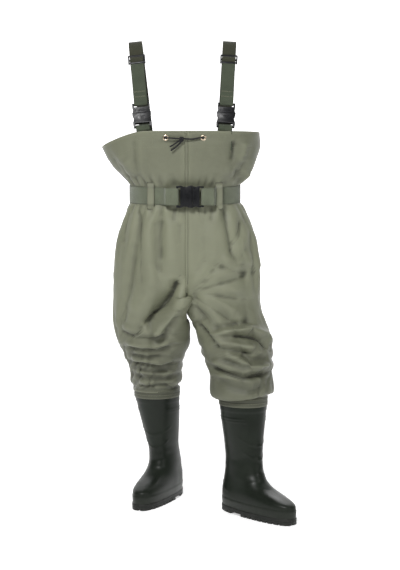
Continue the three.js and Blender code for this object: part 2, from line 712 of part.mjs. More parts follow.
function bracePath(frontY, backY) {
  const front = new THREE.Vector3(0, Math.sin(rad(FRONT_LEAN)), Math.cos(rad(FRONT_LEAN)));
  const back = new THREE.Vector3(0, -Math.sin(rad(BACK_LEAN)), Math.cos(rad(BACK_LEAN)));
  const root = new THREE.Vector3(0, frontY, 0);
  const start = front.clone().multiplyScalar(FRONT_STRAP_END + SEAM_GAP).add(root);
  const frontTop = front.clone().multiplyScalar(BRACE_HEIGHT / front.z).add(root);
  const backRoot = new THREE.Vector3(0, backY, 0);
  const backTop = back.clone().multiplyScalar((BRACE_HEIGHT - 6) / back.z).add(backRoot);
  const backEnd = back.clone().multiplyScalar((ELASTIC + SEAM_GAP) / back.z).add(backRoot);
  const path = new THREE.CurvePath();
  path.add(new THREE.LineCurve3(start, frontTop));
  path.add(
    new THREE.CubicBezierCurve3(
      frontTop,
      front.clone().multiplyScalar(BRACE_SHOULDER).add(frontTop),
      back.clone().multiplyScalar(BRACE_SHOULDER).add(backTop),
      backTop,
    ),
  );
  path.add(new THREE.LineCurve3(backTop, backEnd));
  return path;
}

function strapAlong(path, steps) {
  return sheet(steps, 1, (along, through, across) => {
    const point = path.getPointAt(along);
    const tangent = path.getTangentAt(along);
    const normal = new THREE.Vector3(0, -tangent.z, tangent.y);
    const x = (across - 0.5) * STRAP_WIDTH;
    return point.add(normal.multiplyScalar((through - 0.5) * STRAP_THICKNESS)).setX(x);
  });
}

function slider() {
  const half = STRAP_WIDTH / 2 + 1.5;
  const rail = 4;
  const y = SLIDER_LENGTH / 2;
  const gap = STRAP_THICKNESS / 2 + SEAM_GAP;
  const frame = block(-half - rail, half + rail, -y, y, -4, 4);
  const clear = block(-half, half, -y - 1, y + 1, -gap, gap);
  const between = block(-half, half, -y + 5, y - 5, -gap, 5);
  const under = [
    block(-half, half, -y - 1, -3, -5, gap),
    block(-half, half, 3, y + 1, -5, gap),
  ];
  return shaped(frame, { cut: [clear, between, ...under] });
}

function addBraces() {
  Object.entries(BRACES).forEach(([name, { x, outward }]) => {
    const inside = -CLOTH - SHIRT_GAP - STRAP_THICKNESS;
    const middle = inside + STRAP_THICKNESS / 2;
    const frontY = torsoPoint(angleAt(x, BIB_HEIGHT, false, middle), BIB_HEIGHT, middle).y;
    const backY = torsoPoint(angleAt(x, BIB_HEIGHT, true, middle), BIB_HEIGHT, middle).y;
    [['front', false], ['back', true]].forEach(([end, onBack]) => {
      const patch = torsoStrip(
        x - STRAP_WIDTH / 2,
        x + STRAP_WIDTH / 2,
        BIB_HEIGHT - ANCHOR,
        BIB_HEIGHT - 1,
        STRAP_THICKNESS,
        () => inside,
        { onBack },
      );
      part(waders, `brace_anchor_${end}_${name}`, patch, 'webbing');
    });

    const brace = new THREE.Group();
    brace.position.set(x, 0, BIB_HEIGHT);
    brace.rotation.y = Math.sign(x) * rad(outward);
    waders.add(brace);
    part(brace, `brace_strap_${name}`, strapAlong(bracePath(frontY, backY), 30), 'webbing');

    const front = new THREE.Group();
    front.position.set(0, frontY, 0);
    front.rotation.x = rad(90 - FRONT_LEAN);
    brace.add(front);
    const half = BRACE_BUCKLE_LENGTH / 2;
    const centre = TAB + half;
    const buckle = new THREE.Group();
    buckle.position.set(0, centre, 0);
    front.add(buckle);
    const sizes = [STRAP_WIDTH, BRACE_BUCKLE_LENGTH, BRACE_BUCKLE_THICKNESS];
    part(buckle, `brace_socket_${name}`, buckleSocket(...sizes), 'plastic');
    part(buckle, `brace_plug_${name}`, bucklePlug(...sizes), 'plastic');
    part(buckle, `brace_prong_outer_${name}`, buckleProng(...sizes, Math.sign(x)), 'plastic');
    part(buckle, `brace_prong_inner_${name}`, buckleProng(...sizes, -Math.sign(x)), 'plastic');

    const w = STRAP_WIDTH / 2;
    const t = STRAP_THICKNESS / 2;
    const overlap = 0.5;
    const tab = shaped(webbingLoop(STRAP_WIDTH, STRAP_THICKNESS, TAB, TAB + BAR), {
      add: [block(-w, w, TAB_ROOT, TAB - SEAM_GAP - overlap, -t, t)],
    });
    part(front, `brace_tab_${name}`, tab, 'webbing');
    const plugBar = centre + half - BAR;
    const run = shaped(webbingLoop(STRAP_WIDTH, STRAP_THICKNESS, plugBar, plugBar + BAR), {
      add: [block(-w, w, plugBar + BAR + SEAM_GAP + overlap, FRONT_STRAP_END, -t, t)],
    });
    part(front, `brace_strap_front_${name}`, run, 'webbing');
    const slide = part(front, `brace_slider_${name}`, slider(), 'plastic');
    slide.position.set(0, SLIDER_HEIGHT, 0);

    const back = new THREE.Group();
    back.position.set(0, backY, 0);
    back.rotation.x = rad(90 + BACK_LEAN);
    brace.add(back);
    const reach = ELASTIC / Math.cos(rad(BACK_LEAN));
    part(back, `brace_elastic_${name}`, block(-w, w, TAB_ROOT, reach, -t, t), 'webbing');
  });
}

// ---- Drawcord ----
// Each run's points, from the knot's place: x, forward of the bib, z.
const KNOT = { x: -14, forward: 9, drop: 22 };

function cordTube(points) {
  const curve = new THREE.CatmullRomCurve3(points);
  const section = new THREE.Shape();
  section.absarc(0, 0, CORD_RADIUS, 0, 2 * Math.PI, false);
  const steps = Math.max(6, Math.round(curve.getLength() / (5 * CORD_RADIUS)));
  const extrusion = { steps, extrudePath: curve, bevelEnabled: false, curveSegments: 4 };
  return new THREE.ExtrudeGeometry(section, extrusion);
}

function bibFront(x, forward, z) {
  const point = torsoPoint(angleAt(x, z), z);
  return new THREE.Vector3(x, point.y - forward, z);
}

function addDrawcord() {
  const z = BIB_HEIGHT - KNOT.drop;
  const [right, left] = eyeletPlaces();
  const runs = {
    drawcord_right: [
      bibFront(right.x, 2.5, right.z),
      bibFront(right.x + 3, 7, right.z),
      bibFront(right.x + 14, 6.5, right.z - 1),
      bibFront(KNOT.x - 22, 6.5, z + 1),
      bibFront(KNOT.x - KNOT_RADIUS - 1.5, 8, z),
    ],
    drawcord_left: [
      bibFront(left.x, 2.5, left.z),
      bibFront(left.x - 3, 7, left.z),
      bibFront(left.x - 14, 6.5, left.z - 1),
      bibFront(KNOT.x + 30, 6, z - 1),
      bibFront(KNOT.x + KNOT_RADIUS + 1.5, 8, z),
    ],
    drawcord_tail_upper: [
      bibFront(KNOT.x - 6.5, 8, z - 5.5),
      bibFront(KNOT.x - 14, 6, z - 11),
      bibFront(KNOT.x - 24, 5, z - 18),
      bibFront(KNOT.x - 34, 5, z - 23),
    ],
    drawcord_tail_lower: [
      bibFront(KNOT.x - 2, 8, z - 9),
      bibFront(KNOT.x - 9, 6, z - 17),
      bibFront(KNOT.x - 20, 5, z - 27),
      bibFront(KNOT.x - 31, 5, z - 34),
    ],
  };
  Object.entries(runs).forEach(([name, points]) => part(waders, name, cordTube(points), 'cord'));
  const knot = new THREE.SphereGeometry(KNOT_RADIUS, 10, 8);
  part(waders, 'drawcord_knot', knot, 'cord').position.copy(bibFront(KNOT.x, KNOT.forward, z));
}

addTorso();
addEyelets();
addLegs();
addBelt();
addBraces();
addDrawcord();

// The origin goes to the centre of the base.
const bounds = new THREE.Box3().setFromObject(waders, true);
const centre = bounds.getCenter(new THREE.Vector3());
waders.position.set(-centre.x, -centre.y, -bounds.min.z);
waders.updateMatrixWorld(true);

export default waders;
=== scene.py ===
# Chest waders: the looks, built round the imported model. Metres, +Z up.
# The wearer faces -Y, so +X is their left.
import json
import math

import bmesh
import bpy
import numpy as np
from mathutils import Matrix, Vector, noise
from mathutils.bvhtree import BVHTree


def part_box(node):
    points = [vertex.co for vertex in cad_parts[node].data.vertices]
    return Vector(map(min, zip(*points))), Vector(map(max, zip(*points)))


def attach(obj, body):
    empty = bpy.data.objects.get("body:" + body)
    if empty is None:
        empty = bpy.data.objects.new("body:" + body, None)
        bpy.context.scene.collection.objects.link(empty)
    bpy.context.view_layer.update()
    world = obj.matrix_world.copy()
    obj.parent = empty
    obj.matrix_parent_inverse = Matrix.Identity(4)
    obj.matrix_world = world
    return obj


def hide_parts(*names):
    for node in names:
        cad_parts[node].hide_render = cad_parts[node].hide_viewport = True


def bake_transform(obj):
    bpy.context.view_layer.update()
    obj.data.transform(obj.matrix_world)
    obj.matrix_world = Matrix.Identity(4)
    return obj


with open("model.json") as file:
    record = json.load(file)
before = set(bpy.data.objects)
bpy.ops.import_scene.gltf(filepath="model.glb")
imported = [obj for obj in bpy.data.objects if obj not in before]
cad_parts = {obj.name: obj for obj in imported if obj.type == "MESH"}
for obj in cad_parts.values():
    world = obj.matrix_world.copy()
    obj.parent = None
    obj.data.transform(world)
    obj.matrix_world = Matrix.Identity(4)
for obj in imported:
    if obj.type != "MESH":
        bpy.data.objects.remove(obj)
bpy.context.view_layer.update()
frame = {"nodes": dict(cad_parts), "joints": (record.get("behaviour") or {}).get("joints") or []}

# ---- Places, from the frame ----
front_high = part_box("front_panel_left")[1]
back_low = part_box("back_panel_left")[0]
gusset_low, gusset_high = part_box("crotch_gusset")
ORIGIN = Vector(((gusset_low[0] + gusset_high[0]) / 2, (front_high[1] + back_low[1]) / 2, 0))
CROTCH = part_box("thigh_right")[1][2]
HEM = front_high[2]
BOOT_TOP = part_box("boot_upper_right")[1][2]
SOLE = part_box("outsole_right")[1][2]
JOINTS = {joint["name"]: joint for joint in frame["joints"]}
WAIST = 0.945  # the middle of the belt
BELT_SLOPE = 0.06  # the belt hangs lower in front
SQUARENESS = 2.3  # exponent of the torso's superellipse
LEG_END = BOOT_TOP + 0.016
# Each foot: its ankle and the boot's top on the floor plan, and how far the toes turn out, in degrees.
SIDES = {
    "right": {"sign": -1, "ankle": (-0.067, 0.108), "toe_out": 21, "top": (-0.094, 0.095)},
    "left": {"sign": 1, "ankle": (0.168, -0.095), "toe_out": 40, "top": (0.168, -0.062)},
}


# ---- Camera, light and floor ----
def look():
    scene = bpy.context.scene
    data = bpy.data.cameras.new("camera")
    data.sensor_fit = "VERTICAL"
    data.sensor_height = 24
    data.lens = 56.1
    camera = bpy.data.objects.new("camera", data)
    camera.location = ORIGIN + Vector((0.039, -4.0, 1.0))
    camera.rotation_euler = (math.radians(90 - 4.72), 0, 0)
    scene.collection.objects.link(camera)
    scene.camera = camera

    world = bpy.data.worlds.new("studio")
    scene.world = world
    world.use_nodes = True
    world.node_tree.nodes["Background"].inputs["Color"].default_value = (0.97, 0.98, 1.0, 1)
    world.node_tree.nodes["Background"].inputs["Strength"].default_value = 0.12
    scene.view_settings.view_transform = "Standard"
    for name, place, target, size, power in (
        ("key", (-0.9, -2.8, 3.25), (0, 0, 0.72), 0.9, 116),
        ("fill", (2.8, -2.6, 2.2), (0, 0, 0.8), 1.4, 26),
        ("back", (0.4, 2.4, 3.2), (0, 0, 0.6), 2.0, 50),
    ):
        lamp = bpy.data.lights.new(name, "AREA")
        lamp.energy = power
        lamp.size = size
        obj = bpy.data.objects.new(name, lamp)
        obj.location = ORIGIN + Vector(place)
        aim = ORIGIN + Vector(target) - obj.location
        obj.rotation_euler = aim.to_track_quat("-Z", "Y").to_euler()
        scene.collection.objects.link(obj)

    # A pale floor, and a bright wall well behind it.
    for name, corners, white, glow in (
        ("floor", [(-9, -5, 0), (9, -5, 0), (9, 5, 0), (-9, 5, 0)], 0.80, 0.50),
        ("wall", [(-9, 5, -0.5), (9, 5, -0.5), (9, 5, 6), (-9, 5, 6)], 0.80, 1.05),
    ):
        mesh = bpy.data.meshes.new(name)
        mesh.from_pydata(corners, [], [(0, 1, 2, 3)])
        obj = bpy.data.objects.new(name, mesh)
        scene.collection.objects.link(obj)
        paint = bpy.data.materials.new(name)
        paint.use_nodes = True
        shader = paint.node_tree.nodes["Principled BSDF"]
        shader.inputs["Base Color"].default_value = (white, white, white, 1)
        shader.inputs["Roughness"].default_value = 1.0
        shader.inputs["Specular IOR Level"].default_value = 0.0
        shader.inputs["Emission Color"].default_value = (1, 1, 1, 1)
        shader.inputs["Emission Strength"].default_value = glow
        mesh.materials.append(paint)


look()


# ---- Materials ----
class Paint:
    """A material's nodes, with short calls for those used here."""

    def __init__(self, name, roughness, metallic=0.0, specular=0.5):
        self.material = bpy.data.materials.new(name)
        self.material.use_nodes = True
        self.tree = self.material.node_tree
        self.shader = self.tree.nodes["Principled BSDF"]
        self.shader.inputs["Roughness"].default_value = roughness
        self.shader.inputs["Metallic"].default_value = metallic
        self.shader.inputs["Specular IOR Level"].default_value = specular
        self.place = self.node("ShaderNodeTexCoord").outputs["Object"]
        self.thread = self.node("ShaderNodeTexCoord").outputs["UV"]

    def node(self, kind, settings=(), **inputs):
        node = self.tree.nodes.new(kind)
        for key, value in dict(settings).items():
            setattr(node, key, value)
        for key, value in inputs.items():
            self.put(node.inputs[key.replace("_", " ")], value)
        return node

    def put(self, socket, value):
        if isinstance(value, bpy.types.NodeSocket):
            self.tree.links.new(value, socket)
        else:
            socket.default_value = value

    def noise(self, scale, detail=3.0, vector=None, distortion=0.0):
        vector = vector or self.place
        inputs = {"Vector": vector, "Scale": scale, "Detail": detail, "Distortion": distortion}
        return self.node("ShaderNodeTexNoise", **inputs).outputs["Fac"]

    def bands(self, pitch, direction, vector=None, profile="SIN"):
        settings = {"wave_type": "BANDS", "bands_direction": direction, "wave_profile": profile}
        # One band of the wave texture takes 2 pi / 20 units at scale 1.
        inputs = {"Vector": vector or self.place, "Scale": math.tau / 20 / pitch}
        return self.node("ShaderNodeTexWave", settings, **inputs).outputs["Fac"]

    def ramp(self, value, low, high, start=0.0, end=1.0):
        settings = {"clamp": True}
        inputs = {"Value": value, "From_Min": low, "From_Max": high, "To_Min": start, "To_Max": end}
        return self.node("ShaderNodeMapRange", settings, **inputs).outputs["Result"]

    def maths(self, operation, a, b):
        node = self.node("ShaderNodeMath", {"operation": operation})
        self.put(node.inputs[0], a)
        self.put(node.inputs[1], b)
        return node.outputs[0]

    def blend(self, share, a, b, mode="MIX"):
        node = self.node("ShaderNodeMix", {"data_type": "RGBA", "blend_type": mode})
        self.put(node.inputs[0], share)
        self.put(node.inputs[6], a)
        self.put(node.inputs[7], b)
        return node.outputs[2]

    def bump(self, height, depth, strength=1.0, under=None):
        node = self.node("ShaderNodeBump", Height=height, Distance=depth, Strength=strength)
        if under:
            self.put(node.inputs["Normal"], under)
        return node.outputs["Normal"]

    def finish(self, colour, normal, roughness=None):
        self.put(self.shader.inputs["Base Color"], colour)
        self.put(self.shader.inputs["Normal"], normal)
        if roughness is not None:
            self.put(self.shader.inputs["Roughness"], roughness)
        return self.material


def tone(colour, share):
    return (*(channel * share for channel in colour), 1)


def coated_cloth(name, colour, roughness=0.5):
    """Coated nylon: a fine plain weave under a soft sheen, uneven in tone and a little crumpled, with painted
    shade low down, over the bib and in its folds, and painted highlights on its ridges.
    """
    paint = Paint(name, roughness, specular=0.42)
    slow = paint.ramp(paint.noise(7, 4), 0.3, 0.7)
    fine = paint.ramp(paint.noise(55, 3), 0.25, 0.75)
    base = paint.blend(slow, tone(colour, 0.87), tone(colour, 1.1))
    base = paint.blend(paint.maths("MULTIPLY", fine, 0.35), base, tone(colour, 1.16))
    scuff = paint.ramp(paint.noise(24, 6, distortion=0.6), 0.66, 0.76)
    base = paint.blend(paint.maths("MULTIPLY", scuff, 0.3), base, tone(colour, 1.35))
    # Painted shade: darker down the shins, and a little darker over the bib, where less light falls.
    height = paint.node("ShaderNodeSeparateXYZ", Vector=paint.place).outputs["Z"]
    base = paint.blend(paint.ramp(height, 0.64, 0.42), base, (0.52, 0.52, 0.52, 1), "MULTIPLY")
    base = paint.blend(paint.ramp(height, 0.90, 1.02), base, (0.80, 0.80, 0.80, 1), "MULTIPLY")
    weave = paint.maths("MULTIPLY", paint.bands(0.0011, "X"), paint.bands(0.0011, "Z"))
    crinkle = paint.node(
        "ShaderNodeTexNoise", {"noise_type": "RIDGED_MULTIFRACTAL"},
        Vector=paint.place, Scale=9.0, Detail=3.0, Roughness=0.55, Distortion=0.5,
    ).outputs["Fac"]
    # Painted shade down in its folds and a painted highlight along its ridges, set by the mesh's pointiness.
    pointed = paint.node("ShaderNodeNewGeometry").outputs["Pointiness"]
    base = paint.blend(paint.ramp(pointed, 0.498, 0.435), base, tone(colour, 0.34))
    base = paint.blend(paint.ramp(pointed, 0.506, 0.560, 0, 0.5), base, tone(colour, 1.25))
    normal = paint.bump(crinkle, 0.0070, 0.55)
    normal = paint.bump(paint.noise(26, 3, distortion=0.4), 0.003, 0.3, normal)
    normal = paint.bump(paint.noise(95, 2), 0.0012, 0.35, normal)
    normal = paint.bump(weave, 0.00025, 0.5, normal)
    paint.shader.inputs["Sheen Weight"].default_value = 0.06
    paint.shader.inputs["Sheen Roughness"].default_value = 0.4
    return paint.finish(base, normal, paint.ramp(slow, 0, 1, roughness - 0.07, roughness + 0.09))


def webbing(name, colour, rib=0.0016, width=0.04):
    """Woven webbing: ribs across it, columns of thread along it, darker bound edges. UVs are metres."""
    paint = Paint(name, 0.82, specular=0.25)
    ribs = paint.bands(rib, "Y", paint.thread)
    columns = paint.bands(rib * 1.9, "X", paint.thread)
    weave = paint.maths("MULTIPLY", ribs, columns)
    worn = paint.ramp(paint.noise(30, 4), 0.35, 0.75)
    base = paint.blend(weave, tone(colour, 0.62), tone(colour, 1.22))
    base = paint.blend(paint.maths("MULTIPLY", worn, 0.35), base, tone(colour, 1.3))
    across = paint.node("ShaderNodeSeparateXYZ", Vector=paint.thread).outputs["X"]
    edge = paint.ramp(paint.maths("ABSOLUTE", across, 0.0), width / 2 - 0.0022, width / 2 - 0.001)
    base = paint.blend(paint.maths("MULTIPLY", edge, 0.4), base, tone(colour, 0.5))
    normal = paint.bump(weave, 0.0006, 0.8)
    normal = paint.bump(paint.noise(900, 2), 0.0002, 0.5, normal)
    paint.shader.inputs["Sheen Weight"].default_value = 0.25
    return paint.finish(base, normal)


def plastic(name, colour):
    """Moulded acetal: satin black, a fine grain, paler where it has been rubbed."""
    paint = Paint(name, 0.36, specular=0.28)
    rubbed = paint.ramp(paint.noise(60, 5, distortion=0.5), 0.6, 0.85)
    base = paint.blend(paint.maths("MULTIPLY", rubbed, 0.35), tone(colour, 1), tone(colour, 2.1))
    grain = paint.noise(2400, 2)
    normal = paint.bump(grain, 0.00012, 0.6)
    return paint.finish(base, normal, paint.ramp(paint.noise(140, 3), 0.3, 0.7, 0.28, 0.46))


def rubber(name, colour, roughness, gloss):
    """Moulded PVC: a slightly uneven surface, with dust lying in the lower part."""
    paint = Paint(name, roughness, specular=gloss)
    slow = paint.ramp(paint.noise(14, 4), 0.3, 0.7)
    base = paint.blend(slow, tone(colour, 0.85), tone(colour, 1.25))
    marks = paint.ramp(paint.noise(42, 6, distortion=0.8), 0.62, 0.72)
    base = paint.blend(paint.maths("MULTIPLY", marks, 0.12), base, tone(colour, 2.0))
    height = paint.node("ShaderNodeSeparateXYZ", Vector=paint.place).outputs["Z"]
    dust = paint.maths("MULTIPLY", paint.ramp(height, 0.06, 0.0), paint.noise(60, 4))
    base = paint.blend(paint.maths("MULTIPLY", dust, 0.16), base, (0.16, 0.155, 0.14, 1))
    normal = paint.bump(paint.noise(20, 2), 0.0015, 0.15)
    normal = paint.bump(paint.noise(420, 3), 0.0003, 0.25, normal)
    return paint.finish(base, normal, paint.ramp(slow, 0, 1, roughness - 0.08, roughness + 0.12))


def brass(name, colour):
    paint = Paint(name, 0.28, metallic=1.0)
    tarnish = paint.ramp(paint.noise(220, 5), 0.45, 0.7)
    base = paint.blend(paint.maths("MULTIPLY", tarnish, 0.5), tone(colour, 1), tone(colour, 0.5))
    grain = paint.bump(paint.noise(700, 2), 0.0002, 0.5)
    return paint.finish(base, grain, paint.ramp(tarnish, 0, 1, 0.22, 0.45))


def braid(name, colour):
    """Braided cord or sewing thread: slanting strands."""
    paint = Paint(name, 0.8, specular=0.3)
    slant = paint.node("ShaderNodeMapping", Vector=paint.place, Rotation=(0.6, 0.7, 0.5)).outputs["Vector"]
    strands = paint.maths("MAXIMUM", paint.bands(0.0016, "X", slant), paint.bands(0.0016, "Z", slant))
    base = paint.blend(strands, tone(colour, 0.5), tone(colour, 2.0))
    return paint.finish(base, paint.bump(strands, 0.0005, 0.8))


def felt(name, colour):
    paint = Paint(name, 0.95, specular=0.15)
    fibre = paint.noise(380, 5, distortion=1.5)
    base = paint.blend(fibre, tone(colour, 0.7), tone(colour, 1.3))
    return paint.finish(base, paint.bump(fibre, 0.0009, 0.8))


PAINTS = {
    "cloth": coated_cloth("cloth", (0.176, 0.184, 0.124)),
    "cuff": coated_cloth("cuff", (0.120, 0.126, 0.086), 0.6),
    "belt": webbing("belt_webbing", (0.138, 0.156, 0.106), 0.0017, 0.05),
    "webbing": webbing("brace_webbing", (0.062, 0.076, 0.048)),
    "strap": webbing("brace_strap_webbing", (0.040, 0.041, 0.023)),
    "elastic": webbing("elastic_webbing", (0.050, 0.060, 0.040), 0.0026),
    "plastic": plastic("plastic", (0.0050, 0.0054, 0.0066)),
    "boot": rubber("boot_rubber", (0.0100, 0.0135, 0.0092), 0.38, 0.22),
    "sole": rubber("sole_rubber", (0.008, 0.010, 0.008), 0.55, 0.3),
    "brass": brass("brass", (0.78, 0.64, 0.48)),
    "cord": braid("cord_braid", (0.010, 0.010, 0.011)),
    "thread": braid("thread", (0.115, 0.120, 0.082)),
    "insole": felt("insole_felt", (0.25, 0.24, 0.17)),
    # Black for the painted shade in the eyelets' holes.
    "dark": plastic("shadow_black", (0.004, 0.004, 0.004)),
}


# ---- Mesh helpers; every place is in the garment's frame, whose origin is on the floor under the crotch ----
def mesh_object(name, vertices, faces, paint=None, uvs=None):
    mesh = bpy.data.meshes.new(name)
    places = (np.asarray(vertices) + np.array(ORIGIN)).tolist()
    mesh.from_pydata(places, [], [tuple(map(int, face)) for face in faces])
    if uvs is not None:
        layer = mesh.uv_layers.new(name="thread")
        loops = np.concatenate([np.asarray(face) for face in faces])
        layer.data.foreach_set("uv", np.asarray(uvs, np.float32)[loops].ravel())
    mesh.update()
    mesh.shade_smooth()
    obj = bpy.data.objects.new(name, mesh)
    bpy.context.scene.collection.objects.link(obj)
    if paint:
        mesh.materials.append(PAINTS[paint])
    return obj


def keep(obj, body, replaced=(), ends=None):
    """Sets a piece on its body; where ends is given, it only bakes the piece's place into its vertices, on no
    body, and the start and end in ends go unused.
    """
    if ends is None:
        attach(obj, body)
    else:
        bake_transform(obj)
    if replaced:
        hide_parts(*replaced)
    return obj


def eased(x, table, column, reach):
    """A table's column at x, with its corners rounded over reach."""
    taps = ((-1, 0.15), (-0.5, 0.2), (0, 0.3), (0.5, 0.2), (1, 0.15))
    return sum(w * np.interp(x + k * reach, table[:, 0], table[:, column]) for k, w in taps)


def smoothstep(x, low, high):
    t = np.clip((np.asarray(x, float) - low) / (high - low), 0, 1)
    return t * t * (3 - 2 * t)


def hump(x, middle, half):
    """1 at the middle, falling smoothly to 0 at half on each side."""
    return 1 - smoothstep(np.abs(np.asarray(x, float) - middle), 0, half)


def power(x, exponent):
    return np.sign(x) * np.abs(x) ** exponent


def unit(vectors):
    return vectors / np.linalg.norm(vectors, axis=-1, keepdims=True)


def curve_through(points, steps):
    """A smooth run through the points, sampled evenly by length."""
    p = np.asarray(points, float)
    p = np.vstack([2 * p[0] - p[1], p, 2 * p[-1] - p[-2]])
    out = []
    for a, b, c, d in zip(p[:-3], p[1:-2], p[2:-1], p[3:]):
        for t in np.linspace(0, 1, 12, endpoint=False):
            square, cube = 2 * a - 5 * b + 4 * c - d, 3 * b - a - 3 * c + d
            out.append(0.5 * (2 * b + (c - a) * t + square * t**2 + cube * t**3))
    out = np.array(out + [p[-2]])
    along = np.concatenate([[0], np.cumsum(np.linalg.norm(np.diff(out, axis=0), axis=1))])
    even = np.linspace(0, along[-1], steps)
    return np.stack([np.interp(even, along, out[:, k]) for k in range(out.shape[1])], 1)


def tube_faces(rows, count):
    """Faces round a tube of closed rings, whose vertices follow one another ring by ring."""
    faces = []
    for row in range(rows - 1):
        for k in range(count):
            n = (k + 1) % count
            faces.append((row * count + k, row * count + n, (row + 1) * count + n, (row + 1) * count + k))
    return faces


def band(path, across, width, thickness):
    """Vertices, faces and UVs in metres of a webbing strip with soft edges, along a path."""
    path = np.asarray(path, float)
    across = unit(np.broadcast_to(np.asarray(across, float), path.shape))
    tangent = unit(np.gradient(path, axis=0))
    normal = unit(np.cross(across, tangent))
    flat = np.array([-1, -0.94, -0.7, -0.35, 0, 0.35, 0.7, 0.94, 1])
    crown = np.array([0.35, 0.9, 1, 1, 1, 1, 1, 0.9, 0.35])
    section = [(x, h) for x, h in zip(flat, crown)] + [(x, -h) for x, h in zip(flat[::-1], crown[::-1])]
    count = len(section)
    along = np.concatenate([[0], np.cumsum(np.linalg.norm(np.diff(path, axis=0), axis=1))])
    vertices, uvs = [], []
    for x, h in section:
        vertices.append(path + across * (x * width / 2) + normal * (h * thickness / 2))
        uvs.append(np.stack([np.full(len(path), x * width / 2), along], 1))
    vertices = np.stack(vertices, 1).reshape(-1, 3)
    uvs = np.stack(uvs, 1).reshape(-1, 2)
    faces = tube_faces(len(path), count)
    last = (len(path) - 1) * count
    faces.append(tuple(range(count))[::-1])
    faces.append(tuple(last + k for k in range(count)))
    return vertices, [face[::-1] for face in faces], uvs


def strip(name, path, across, width, thickness, paint):
    vertices, faces, uvs = band(path, across, width, thickness)
    return mesh_object(name, vertices, faces, paint, uvs)


def flat_rings(name, angles, height, layers):
    """Rings of the boot's outline at one height, each moved to its own z and grown by out."""
    rings = []
    for z, out in layers:
        ring = boot_point(name, angles, height, out)
        ring[:, 2] = z
        rings.append(ring)
    return rings


def merged(parts):
    """Several (vertices, faces[, uvs]) as one."""
    vertices, faces, uvs, first = [], [], [], 0
    for part in parts:
        vertices.append(np.asarray(part[0], float))
        faces += [tuple(int(i) + first for i in face) for face in part[1]]
        uvs.append(part[2] if len(part) > 2 else np.zeros((len(part[0]), 2)))
        first += len(part[0])
    return np.concatenate(vertices), faces, np.concatenate(uvs)


def rings_mesh(rings, cap_low=False, cap_high=False):
    """A tube through closed rings, listed from low to high."""
    count = len(rings[0])
    faces = tube_faces(len(rings), count)
    vertices = np.concatenate(rings)
    for wanted, row, turn in ((cap_low, 0, -1), (cap_high, len(rings) - 1, 1)):
        if wanted:
            centre = len(vertices)
            vertices = np.vstack([vertices, rings[row].mean(0)])
            for k in range(count):
                pair = (row * count + k, row * count + (k + 1) % count)
                faces.append((*pair[::turn], centre))
    return vertices, faces


def dashes(lines, normals, length=0.0032, gap=0.0018, width=0.0009, height=0.0006):
    """Stitches along each line of points, lying on a surface with those normals."""
    parts = []
    corners = np.array([(-1, -0.6, 0), (-1, 0.6, 0), (-0.55, 0, 1), (0.55, 0, 1), (1, 0.6, 0), (1, -0.6, 0)])
    shape = [(0, 2, 1), (0, 5, 3, 2), (1, 2, 3, 4), (3, 5, 4)]
    for line, normal in zip(lines, normals):
        along = np.concatenate([[0], np.cumsum(np.linalg.norm(np.diff(line, axis=0), axis=1))])
        count = int(along[-1] / (length + gap))
        for centre in (np.arange(count) + 0.5) * (length + gap):
            def at(s, table):
                return np.array([np.interp(s, along, table[:, k]) for k in range(3)])
            p, n = at(centre, line), unit(at(centre, normal))
            t = unit(at(centre + length / 2, line) - at(centre - length / 2, line))
            b = np.cross(n, t)
            size = corners * (length / 2, width, height)
            parts.append((p + size[:, :1] * t + size[:, 1:2] * b + (size[:, 2:] - 0.0001) * n, shape))
    return merged(parts)


# ---- The garment's shape ----
# Height, half widths to the wearer's right and left, depths to the front and back.
TORSO = np.array([
    (0.640, 0.2136, 0.2136, 0.114, 0.128),
    (0.701, 0.218, 0.222, 0.120, 0.132),
    (0.808, 0.208, 0.208, 0.123, 0.131),
    (0.878, 0.190, 0.184, 0.121, 0.124),
    (0.945, 0.166, 0.154, 0.112, 0.109),
    (0.999, 0.202, 0.188, 0.128, 0.115),
    (1.039, 0.229, 0.204, 0.135, 0.122),
    (1.084, 0.252, 0.217, 0.139, 0.125),
    (1.126, 0.265, 0.216, 0.142, 0.128),
])
# Share of the leg from the crotch to the cuff, half width, half depth, bow in x and y.
LEGS = {
    "right": np.array([
        (0, 0.106, 0.120, 0, 0), (0.27, 0.113, 0.113, 0.001, -0.017), (0.48, 0.107, 0.107, 0.001, -0.014),
        (0.65, 0.085, 0.095, 0.001, -0.005), (0.82, 0.079, 0.088, -0.003, 0), (1, 0.068, 0.076, 0, 0),
    ]),
    "left": np.array([
        (0, 0.106, 0.120, 0, 0), (0.27, 0.105, 0.111, 0.004, 0.004), (0.48, 0.105, 0.105, 0.010, 0.001),
        (0.65, 0.101, 0.100, 0.008, 0), (0.82, 0.094, 0.094, 0.006, 0), (1, 0.070, 0.076, 0, 0),
    ]),
}
HIP = 0.218
WING_DROP = 0.042
HALF = 46  # steps from the centre front round to the centre back
INNER = 16  # steps along the inside of each leg
TORSO_ROWS = 40
LEG_ROWS = 46


def torso_point(angle, z, out=0.0):
    angle, z = np.broadcast_arrays(np.asarray(angle, float), np.asarray(z, float))
    c, s = np.cos(angle), np.sin(angle)
    # The belt holds the cloth straight over its own height.
    away = z - WAIST - 0.0067 * s
    reach = np.interp(np.abs(away), (0, 0.027, 0.075, 9), (0, 0, 0.075, 9))
    level = WAIST + np.sign(away) * reach
    right, left, front, back = (eased(level, TORSO, k, 0.010) for k in (1, 2, 3, 4))
    x = (np.where(c < 0, right, left) + out) * power(c, 2 / SQUARENESS)
    y = (np.where(s < 0, front, back) + out) * power(s, 2 / SQUARENESS)
    return np.stack([x, y, z], -1)


def angle_at(x, z, back=False, out=0.0):
    reach = eased(z, TORSO, 1 if x < 0 else 2, 0.018) + out
    c = power(x / reach, SQUARENESS / 2)
    return math.acos(c) if back else -math.acos(c)


